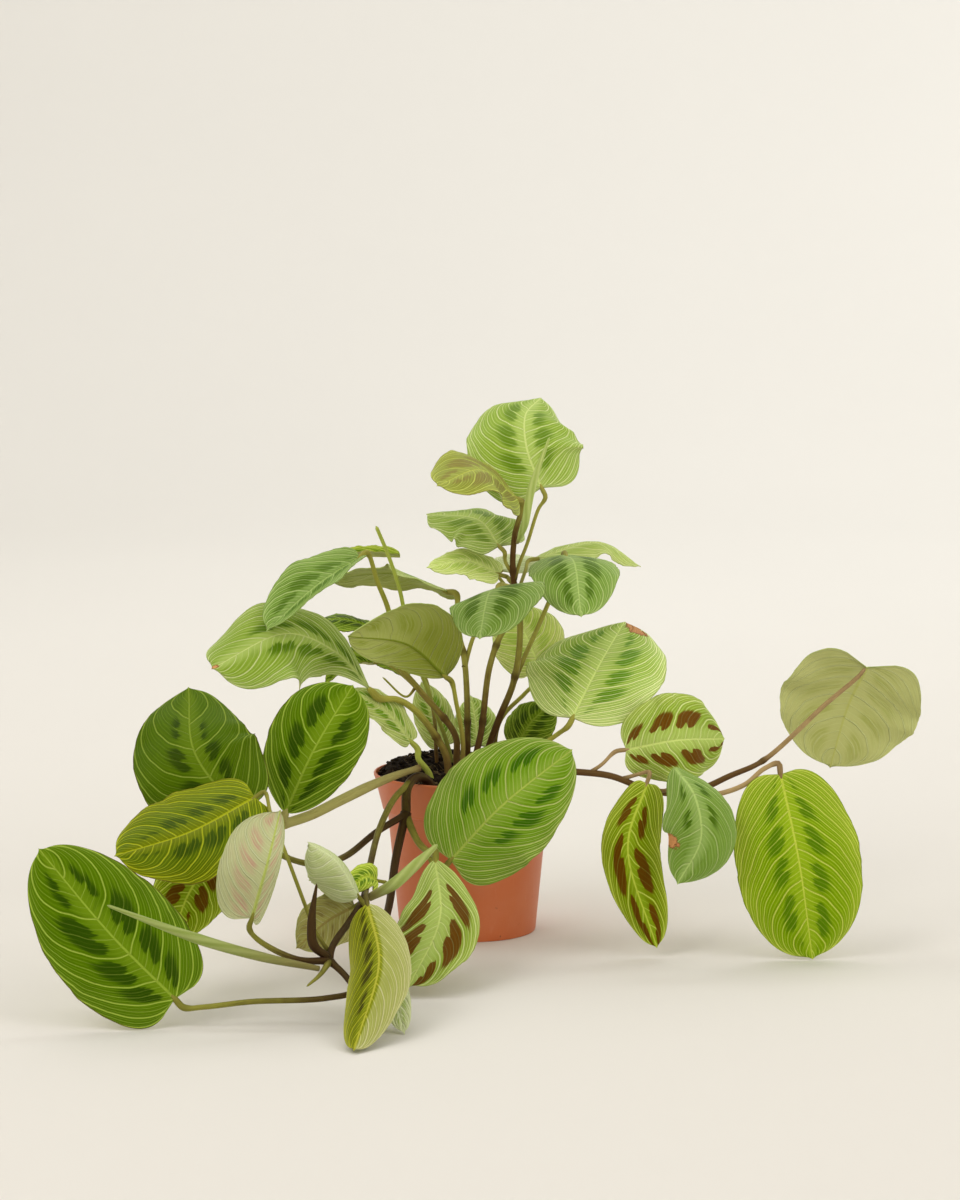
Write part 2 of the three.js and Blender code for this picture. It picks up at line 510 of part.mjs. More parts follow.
function tubePath(tube) {
  const points = [];
  for (const point of tube.path) {
    points.push(point.length === 2 ? toVector([...point, ROOT_END_HEIGHT]) : toVector(point));
  }
  if (tube.leaf) {
    points.push(...petioleEnd(tube.leaf));
  }
  return points;
}

function shootGeometry(shoot) {
  const [first, ...others] = shoot.tubes.map((tube) => toSolid(rodGeometry(tubePath(tube), tube.radii)));
  return toGeometry(others.reduce((body, tube) => body.add(tube), first));
}

function lathe(profile) {
  const points = profile.map(([radius, height]) => new THREE.Vector2(radius, height));
  return new THREE.LatheGeometry(points, ROUND_SIDES).rotateX(Math.PI / 2);
}

// Pot: one turned shell with a raised channel under it, and drain holes in that channel
function potGeometry() {
  const bandBottom = POT_HEIGHT - BAND_HEIGHT;
  const shell = toSolid(lathe([
    [0, 0],
    [BASE_DISC_RADIUS, 0],
    [CHANNEL_INNER_RADIUS, CHANNEL_RISE],
    [CHANNEL_OUTER_RADIUS, CHANNEL_RISE],
    [FOOT_INNER_RADIUS, 0],
    [BASE_RADIUS - FOOT_CHAMFER[0], 0],
    [BASE_RADIUS, FOOT_CHAMFER[1]],
    [WALL_TOP_RADIUS, bandBottom - STEP_RISE],
    [BAND_BOTTOM_RADIUS - STEP_CHAMFER, bandBottom],
    [BAND_BOTTOM_RADIUS, bandBottom + STEP_RISE],
    [POT_TOP_RADIUS - RIM_CHAMFER[0], POT_HEIGHT - RIM_CHAMFER[1]],
    [POT_TOP_RADIUS - RIM_CHAMFER[1], POT_HEIGHT],
    [POT_TOP_RADIUS - WALL, POT_HEIGHT],
    [BAND_BOTTOM_RADIUS - WALL, bandBottom + STEP_RISE],
    [WALL_TOP_RADIUS - WALL, bandBottom - STEP_RISE],
    [BASE_RADIUS - WALL, WALL],
    [FOOT_INNER_RADIUS + STEP_CHAMFER, WALL],
    [CHANNEL_OUTER_RADIUS + STEP_CHAMFER, CHANNEL_RISE + WALL],
    [CHANNEL_INNER_RADIUS - STEP_CHAMFER, CHANNEL_RISE + WALL],
    [BASE_DISC_RADIUS - STEP_CHAMFER, WALL],
    [0, WALL],
  ]));
  let pot = shell;
  for (let i = 0; i < DRAIN_HOLES; i++) {
    const angle = (2 * Math.PI * (i + 0.5)) / DRAIN_HOLES;
    const drill = new THREE.CylinderGeometry(DRAIN_HOLE_RADIUS, DRAIN_HOLE_RADIUS, DRILL_LENGTH, DRILL_SIDES)
      .rotateX(Math.PI / 2)
      .translate(DRAIN_CIRCLE_RADIUS * Math.cos(angle), DRAIN_CIRCLE_RADIUS * Math.sin(angle), CHANNEL_RISE);
    pot = pot.subtract(toSolid(drill));
  }
  return toGeometry(pot);
}

// Height of the soil's top: a low mound, higher behind the stems, with small bumps
function soilHeight(x, y) {
  const radius = Math.hypot(x, y) / POT_TOP_RADIUS;
  const mound = SOIL_MOUND * (1 - radius * radius) * (1 + (SOIL_BACK_RISE * (y - x)) / POT_TOP_RADIUS);
  const [broad, slanted] = SOIL_WAVES;
  const bumps = Math.sin(broad.x * x + broad.shiftX) * Math.sin(broad.y * y + broad.shiftY)
    + slanted.height * Math.sin(slanted.x * x + slanted.y * y);
  return POT_HEIGHT - SOIL_EDGE_DROP + mound + SOIL_BUMP * bumps;
}

// Soil: the inside of the pot less a small gap, with its top moved to the mound's height
function soilGeometry() {
  const bandBottom = POT_HEIGHT - BAND_HEIGHT;
  const gap = WALL + SOIL_CLEARANCE;
  const edge = POT_HEIGHT - SOIL_EDGE_DROP;
  const slope = (POT_TOP_RADIUS - BAND_BOTTOM_RADIUS) / (BAND_HEIGHT - STEP_RISE);
  const edgeRadius = BAND_BOTTOM_RADIUS - gap + slope * (edge - bandBottom - STEP_RISE);
  const profile = [
    [0, gap],
    [BASE_DISC_RADIUS - SOIL_CORNER_GAP, gap],
    [CHANNEL_INNER_RADIUS - SOIL_CORNER_GAP, CHANNEL_RISE + gap],
    [CHANNEL_OUTER_RADIUS + SOIL_CORNER_GAP, CHANNEL_RISE + gap],
    [FOOT_INNER_RADIUS + SOIL_CORNER_GAP, gap],
    [BASE_RADIUS - gap, gap],
    [WALL_TOP_RADIUS - gap, bandBottom - STEP_RISE],
    [BAND_BOTTOM_RADIUS - gap, bandBottom + STEP_RISE],
    [edgeRadius, edge - SOIL_BUMP],
    ...SOIL_RING_RADII.map((radius) => [radius, edge + SOIL_BUMP]),
    [0, edge + SOIL_BUMP],
  ];
  const geometry = lathe(profile);
  const position = geometry.attributes.position;
  for (let i = 0; i < position.count; i++) {
    if (position.getZ(i) > edge) {
      position.setZ(i, soilHeight(position.getX(i), position.getY(i)));
    }
  }
  let soil = toSolid(geometry);
  for (const shoot of SHOOTS) {
    for (const tube of shoot.tubes.filter((entry) => entry.rooted)) {
      const radii = tube.radii.map((radius) => radius + STEM_HOLE_CLEARANCE);
      const hole = toSolid(rodGeometry(tubePath(tube), radii));
      soil = soil.subtract(hole.add(hole.translate(0, 0, -STEM_HOLE_CLEARANCE)));
    }
  }
  return toGeometry(soil);
}

const plant = new THREE.Group();
plant.name = "potted_prayer_plant";
plant.add(named("pot", potGeometry(), { color: 0xb9603c, roughness: 0.55 }));
plant.add(named("soil", soilGeometry(), { color: 0x2a1d16, roughness: 1 }));
for (const shoot of SHOOTS) {
  plant.add(named(shoot.name, shootGeometry(shoot), STEM_LOOKS[shoot.look]));
}
for (const spear of SPEARS) {
  plant.add(named(spear.name, rodGeometry(spear.path.map(toVector), spear.radii), LOOKS[spear.look]));
}
for (const leaf of LEAVES) {
  plant.add(named(leaf.name, bladeGeometry(leaf), LOOKS[leaf.look]));
}

export default plant;
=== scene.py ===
import json
import math
import random
from dataclasses import dataclass

import bmesh
import bpy
import numpy as np
from mathutils import Matrix, Vector, noise

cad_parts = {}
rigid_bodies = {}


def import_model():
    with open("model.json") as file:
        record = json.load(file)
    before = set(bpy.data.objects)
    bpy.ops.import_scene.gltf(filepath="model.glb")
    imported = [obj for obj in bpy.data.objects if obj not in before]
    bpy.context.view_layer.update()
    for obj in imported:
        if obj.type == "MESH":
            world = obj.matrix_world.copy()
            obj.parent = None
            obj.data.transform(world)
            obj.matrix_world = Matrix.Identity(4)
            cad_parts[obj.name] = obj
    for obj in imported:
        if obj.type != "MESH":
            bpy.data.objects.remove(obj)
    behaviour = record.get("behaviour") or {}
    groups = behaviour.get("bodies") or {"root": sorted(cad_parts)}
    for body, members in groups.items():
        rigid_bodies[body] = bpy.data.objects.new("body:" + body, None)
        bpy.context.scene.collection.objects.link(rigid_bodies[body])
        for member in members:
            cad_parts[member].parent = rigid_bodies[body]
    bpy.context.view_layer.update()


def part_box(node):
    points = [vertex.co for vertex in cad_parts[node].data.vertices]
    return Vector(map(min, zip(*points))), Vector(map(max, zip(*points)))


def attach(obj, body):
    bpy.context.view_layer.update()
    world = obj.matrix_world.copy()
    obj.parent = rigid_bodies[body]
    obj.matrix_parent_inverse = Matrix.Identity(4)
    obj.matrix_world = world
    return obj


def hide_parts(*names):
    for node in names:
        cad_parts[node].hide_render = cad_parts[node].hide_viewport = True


bl_info = {
    "name": "Potted prayer plant",
    "version": (1, 0, 0),
    "blender": (4, 5, 0),
    "location": "3D View > Sidebar > Prayer plant",
    "description": "Leaves, stems, soil, pot and a plain stage for a potted prayer plant",
    "category": "Add Mesh",
}

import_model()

MM = 0.001
FULL_TURN = 2 * math.pi
POT_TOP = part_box("pot")[1].z

# Half width of a blade at its very base and tip in millimetres, and the share of its length near the base
# over which its corners are drawn back
END_HALF_WIDTH = 0.8
LOBE_REACH = 0.3

# All in millimetres: a petiole's last stretch in line with the midrib, its gap to the blade, how far it goes
# on under the blade, how far its swollen joint is from its end, and the height at which rooted stems start
PETIOLE_LEAD = 7
BLADE_SEAT_GAP = 0.7
PETIOLE_REST = 4
SWOLLEN_JOINT = 9
ROOT_END_HEIGHT = 76

# Fewest steps along and across a small leaf, and the length in millimetres over which leaves get more
FEWEST_ROWS = 24
FEWEST_COLUMNS = 10
LEAF_LENGTH_SCALE = 160

# Outline of the pot's underside and of its floor inside, as radius and height in millimetres
UNDERSIDE = ((0.5, 0), (13.9, 0), (15.5, 2.5), (36, 2.5), (38, 0.2), (38.5, 0))
FLOOR = ((38.6, 0), (36.6, 2.5), (14.9, 2.5), (13.4, 0), (0.5, 0))
POT_RADIUS = 60
WALL_FLARE = 7.45 * MM
BAND_FLARE = 5.5 * MM
POT_SIDES = 120
SHARP_ANGLE = math.radians(38)
DRAIN_HOLES = 6
DRAIN_CIRCLE = 26 * MM
DRAIN_SIDES = 24
DRAIN_CUT = ((0.0, -0.003), (0.0032, -0.003), (0.0032, 0.009), (0.0, 0.009))

# Rings and spokes of the soil's top, its radius, and the rings of its sides as radius and height, all in mm
SOIL_RINGS = 84
SOIL_SPOKES = 200
SOIL_RADIUS = 57.2
SOIL_SIDES = ((50.5, 82), (49.2, 77), (42.0, 6))
SOIL_SEED = 11

# Crumbs and fibres in millimetres: how far from the middle they start or reach, and how large they are
CRUMB_REACH = 56.5
CRUMB_SIZES = (0.7, 2.3)
FIBRE_START = 50
FIBRE_REACH = 55
FIBRE_LENGTHS = (5, 15)
FIBRE_RADII = (0.28, 0.14)
FIBRE_SIDES = 5
FIBRE_STEP = 1.6
FIBRE_LIFT = (0.2, 1.3)

# Radius of the bend between floor and backdrop in metres, its steps, and the steps around the stage
STAGE_BEND = 1.8
BEND_STEPS = 16
STAGE_SIDES = 96

# Long side of the camera's frame in millimetres, and how far it sees in metres
FRAME_SIDE = 36
VIEW_END = 30

# Place, size, colour and aim of each light; places and sizes are in metres
PLANT_MIDDLE = (0, 0, 0.15)
LIGHTS = {
    "key": ((-1.6, -1.7, 2.1), 1.5, (1.0, 0.98, 0.95), PLANT_MIDDLE),
    "fill": ((2.0, -1.5, 1.3), 1.8, (1.0, 0.98, 0.96), PLANT_MIDDLE),
    "top": ((-0.7, 0.9, 2.7), 1.5, (1.0, 0.98, 0.95), PLANT_MIDDLE),
    "wall": ((1.6, 1.9, 3.6), 2.6, (0.92, 0.965, 1.0), (1.4, 4.6, 1.3)),
}
SKY_COLOUR = (1.0, 0.955, 0.86, 1)

# Colours of the upper faces: between the veins, along the midrib, near the edge, on the side veins, in the
# blotches, on the midrib and on the rim
TOP_PARTS = ("ground", "heart", "margin", "vein", "blotch", "midrib", "rim")
TOPS = {
    "bright": ("8fae38", "b0c866", "98b848", "dcec9c", "527a00", "d4e48c", "93a552"),
    "striped": ("8cab3a", "aec666", "9ab850", "e2f0a8", "508000", "d2e48a", "93a552"),
    "front": ("74a01c", "90b23e", "669010", "ccdc80", "2f6600", "b8cc5c", "8d9c4a"),
    "fresh": ("b0c45c", "c0d07c", "b4c664", "dcea9e", "649400", "d0e088", "9dab58"),
    "pale": ("bec990", "cbd6a0", "b8c67c", "e2eabe", "9cb45c", "dce8b4", "b6c088"),
    "deep": ("527600", "6c8c14", "4c7000", "aac44c", "1f4200", "96b03a", "5a4424"),
    "bluish": ("74963c", "90ac5e", "7c9e48", "bcd484", "385e00", "b2cc78", "6c8438"),
    "lime": ("80a404", "98b820", "8cac08", "d0e060", "3a6c00", "c8d850", "77871a"),
    "flushed": ("97a23c", "a8b250", "9ca83c", "d4de6c", "84643a", "c8d05c", "8a7a40"),
    "golden": ("688200", "808e04", "788400", "d2dc2c", "2c4e00", "c8d020", "7a5a20"),
    "gilded": ("687400", "7a8408", "a2a856", "b8ba30", "302c00", "b6b43c", "d2d296"),
    "blotched": ("90b03a", "b4cc6a", "9cb83c", "e0f098", "642a00", "d6e888", "8fa04a"),
    "sunned": ("769200", "88a41c", "869c04", "cede5c", "5c2a00", "c4d44c", "77801c"),
}

# Colours of the undersides: between the veins, flush between the outer veins, on the veins and the midrib
BACK_PARTS = ("ground", "flush", "vein", "midrib")
BACKS = {
    "silvery": ("bec27e", "a8ae5e", "d0d898", "bcc06c"),
    "olive": ("9ca842", "909e38", "bcc47a", "788a20"),
    "pink": ("bcc090", "c09484", "dce2b4", "b8c860"),
    "thin": ("b8c06c", "b0ac5c", "d0d890", "c0c878"),
    "veined": ("a8a45c", "7c6c3c", "ccca90", "9c8c50"),
}

# How far a painted sheen lightens an underside towards its tip, from 0 to 1
PAINTED_TIP_SHEENS = {"olive": 0.6}

# Tint of the soft shine on leaves and stems
SHEEN = (0.92, 1.0, 0.1)

# Colours of the stems where they are old, where they are young and at their joints
STEM_PARTS = ("old", "young", "joint")
STEMS = {
    "brown": ("5a3a26", "a8a450", "3e261a"),
    "olive": ("705432", "aaa84c", "50341e"),
    "green": ("8c9040", "b4c058", "7c7434"),
    "purple": ("40281f", "8e8c3e", "2c1814"),
    "straw": ("8c7a50", "b0aa6a", "6a4c34"),
    "tan": ("644630", "b69a70", "48301f"),
}


def unit(vectors):
    return vectors / np.linalg.norm(vectors, axis=-1, keepdims=True)


def smooth_curve(points, spots, centripetal=False):
    """Points and directions of a smooth curve through given points, at spots from 0 to 1."""
    points = np.array(points, float)
    padded = np.vstack([2 * points[0] - points[1], points, 2 * points[-1] - points[-2]])
    place = np.clip(np.atleast_1d(spots), 0, 1) * (len(points) - 1)
    first = np.minimum(place.astype(int), len(points) - 2)
    part = (place - first)[:, None]
    p0, p1, p2, p3 = (padded[first + k] for k in range(4))
    if centripetal:
        d0, d1, d2 = (np.linalg.norm(b - a, axis=1, keepdims=True) ** 0.5
                      for a, b in ((p0, p1), (p1, p2), (p2, p3)))
        start = d1 * ((p1 - p0) / d0 - (p2 - p0) / (d0 + d1) + (p2 - p1) / d1)
        end = d1 * ((p2 - p1) / d1 - (p3 - p1) / (d1 + d2) + (p3 - p2) / d2)
    else:
        start = (p2 - p0) / 2
        end = (p3 - p1) / 2
    square = 3 * (p2 - p1) - 2 * start - end
    cube = 2 * (p1 - p2) + start + end
    centre = p1 + start * part + square * part ** 2 + cube * part ** 3
    return centre, unit(start + 2 * square * part + 3 * cube * part ** 2)


def soft_wave(values, seed, octaves=4):
    """A smooth random curve between about -1 and 1."""
    draws = random.Random(seed)
    total = np.zeros_like(np.asarray(values, float))
    size = 0
    for octave in range(octaves):
        rate = 1.9 ** octave
        total = total + np.sin(values * rate * draws.uniform(0.8, 1.25) + draws.uniform(0, 6.3)) / rate ** 0.8
        size += 1 / rate ** 0.8
    return total / size * 1.4


def bell(distance, width, power=2):
    """1 in the middle, falling to 0 beyond the width."""
    return np.exp(-(distance / width) ** power)


@dataclass
class Leaf:
    """One leaf: its surface in millimetres and degrees, and the pattern on its upper face.

    half holds the half widths left and right of the midrib, seen from base to tip, and cup says how far both
    halves curl, + is up. waves are the height and the count of the edge waves. rib is a row of points on the
    midrib from base to tip, face the way that the upper face looks at the base and face_tip at the tip. fold
    opens both halves like a book, lobe draws the base corners back, widest is where along the leaf it is
    widest, and base and tip say how blunt its ends are. look names its colour slot, top and back the colours
    of its two faces, and shade lightens the top.

    veins counts the main side veins, first shifts them all and shift those of the right half, in steps of a
    vein. The dark blotches lie between the two shares of blotch from midrib to edge and the two of reach from
    base to tip. spread is their half width in steps of a vein, soft and ragged tell how their edges look, ink
    how dark they are and solid how far they hide the veins. heart is the width of the pale middle and glow
    its strength. streaks, fine and vein are the strengths of the streaks, the fine veins and the side veins.
    faded pales the left half. scorched lists brown spots by their place along and across, and their size.
    """

    name: str
    look: str
    half: tuple
    cup: float
    waves: tuple
    rib: list
    face: tuple
    face_tip: tuple = None
    fold: float = 0
    lobe: float = 12
    widest: float = 0.44
    base: float = 2.3
    tip: float = 1.85
    top: str = None
    back: str = "silvery"
    shade: float = 1.0
    veins: float = None
    first: float = None
    shift: float = None
    blotch: tuple = (0.15, 0.62)
    reach: tuple = (0.02, 0.78)
    spread: float = 0.44
    soft: float = 1.0
    ragged: float = 1.0
    ink: float = 0.94
    solid: float = 0.5
    heart: float = 0.32
    glow: float = 0.85
    streaks: float = 0.42
    fine: float = 1.0
    vein: float = 0.9
    faded: float = 0.0
    scorched: tuple = ()

    def __post_init__(self):
        draws = random.Random(self.name)
        usual = {
            "veins": draws.uniform(4.3, 5.1),
            "first": draws.uniform(0.0, 0.9),
            "shift": draws.choice((-1, 1)) * draws.uniform(0.06, 0.2),
            "face_tip": self.face,
            "top": self.look,
        }
        self.sweep = draws.uniform(0.9, 1.1)
        for fact, value in usual.items():
            if getattr(self, fact) is None:
                setattr(self, fact, value)
        centres, _ = smooth_curve(self.rib, np.linspace(0, 1, 41))
        self.length = np.linalg.norm(np.diff(centres, axis=0), axis=1).sum()

    def ribs(self, u):
        """The midrib's points, and the directions along it, out of the upper face and to the right."""
        origin, along = smooth_curve(self.rib, u)
        start, end = np.array(self.face, float), np.array(self.face_tip, float)
        face = start + (end - start) * u[:, None]
        up = unit(face - along * (face * along).sum(1, keepdims=True))
        return origin, along, up, np.cross(along, up)

    def outline(self, u):
        """Width of the blade as a share of its full width."""
        bulge = 2 * u ** (math.log(0.5) / math.log(self.widest)) - 1
        roundness = np.where(bulge < 0, self.base, self.tip)
        return np.maximum(0, 1 - np.abs(bulge) ** roundness) ** (1 / roundness)

    def flow(self, u, across, right):
        """Counts side veins: a whole number on each main side vein."""
        start = u - self.sweep * (0.2 * across + 0.25 * across ** 3 + 0.1 * across ** 12)
        ahead = (np.maximum(start, 0) + 0.03) ** 0.78 - 0.03 ** 0.78
        behind = np.minimum(start, 0)
        behind = 1.69 * behind / (1 - 1.2 * behind)
        wobble = 0.07 * soft_wave(3.1 * u + 2.3 * across + 5 * right, self.name)
        return (ahead + behind) * self.veins + self.first + self.shift * right + wobble

    def surface(self, u, v, lift, drip_tip):
        """Points for u from base to tip and v from -1 to 1 across, and how far each is from the midrib."""
        origin, along, up, right = self.ribs(u)
        side = np.where(v < 0, -1.0, 1.0)
        full = np.where(v < 0, *self.half).astype(float)
        ragged = 1 + 0.012 * soft_wave(u * 21 + side * 4, self.name + "edge") * np.sin(np.pi * u)
        half = np.maximum(full * self.outline(u) * ragged, END_HALF_WIDTH)
        fold, cup = math.radians(self.fold), math.radians(self.cup)
        share = np.abs(v)
        angle = fold + cup * share
        out = half / cup * (np.sin(angle) - math.sin(fold))
        rise = half / cup * (math.cos(fold) - np.cos(angle))
        height, count = self.waves
        ripple = height * (half / full) * share ** 2 * np.sin(FULL_TURN * count * u + side)
        ruffle = 0.5 * (half / full) * share ** 4 * soft_wave(u * 34 + side, self.name + "ruffle")
        back = self.lobe * (half / full) * share ** 2 * np.maximum(0, 1 - u / LOBE_REACH) ** 2
        point_out = drip_tip * np.maximum(0, (u - 0.93) / 0.07) ** 2 * (1 - share)
        points = (origin
                  + right * (side * (out - lift * np.sin(angle)))[:, None]
                  + up * (rise + ripple + ruffle + lift * np.cos(angle))[:, None]
                  + along * (point_out - back)[:, None])
        return points, half * share * side

    def petiole_end(self):
        """The last points of the leaf's petiole, in line with the midrib and just under the blade's base."""
        origin, along, up, _ = (part[0] for part in self.ribs(np.array([0.0])))
        return [origin - along * PETIOLE_LEAD,
                origin - along * BLADE_SEAT_GAP - up * 0.5,
                origin + along * PETIOLE_REST - up * 1.1]


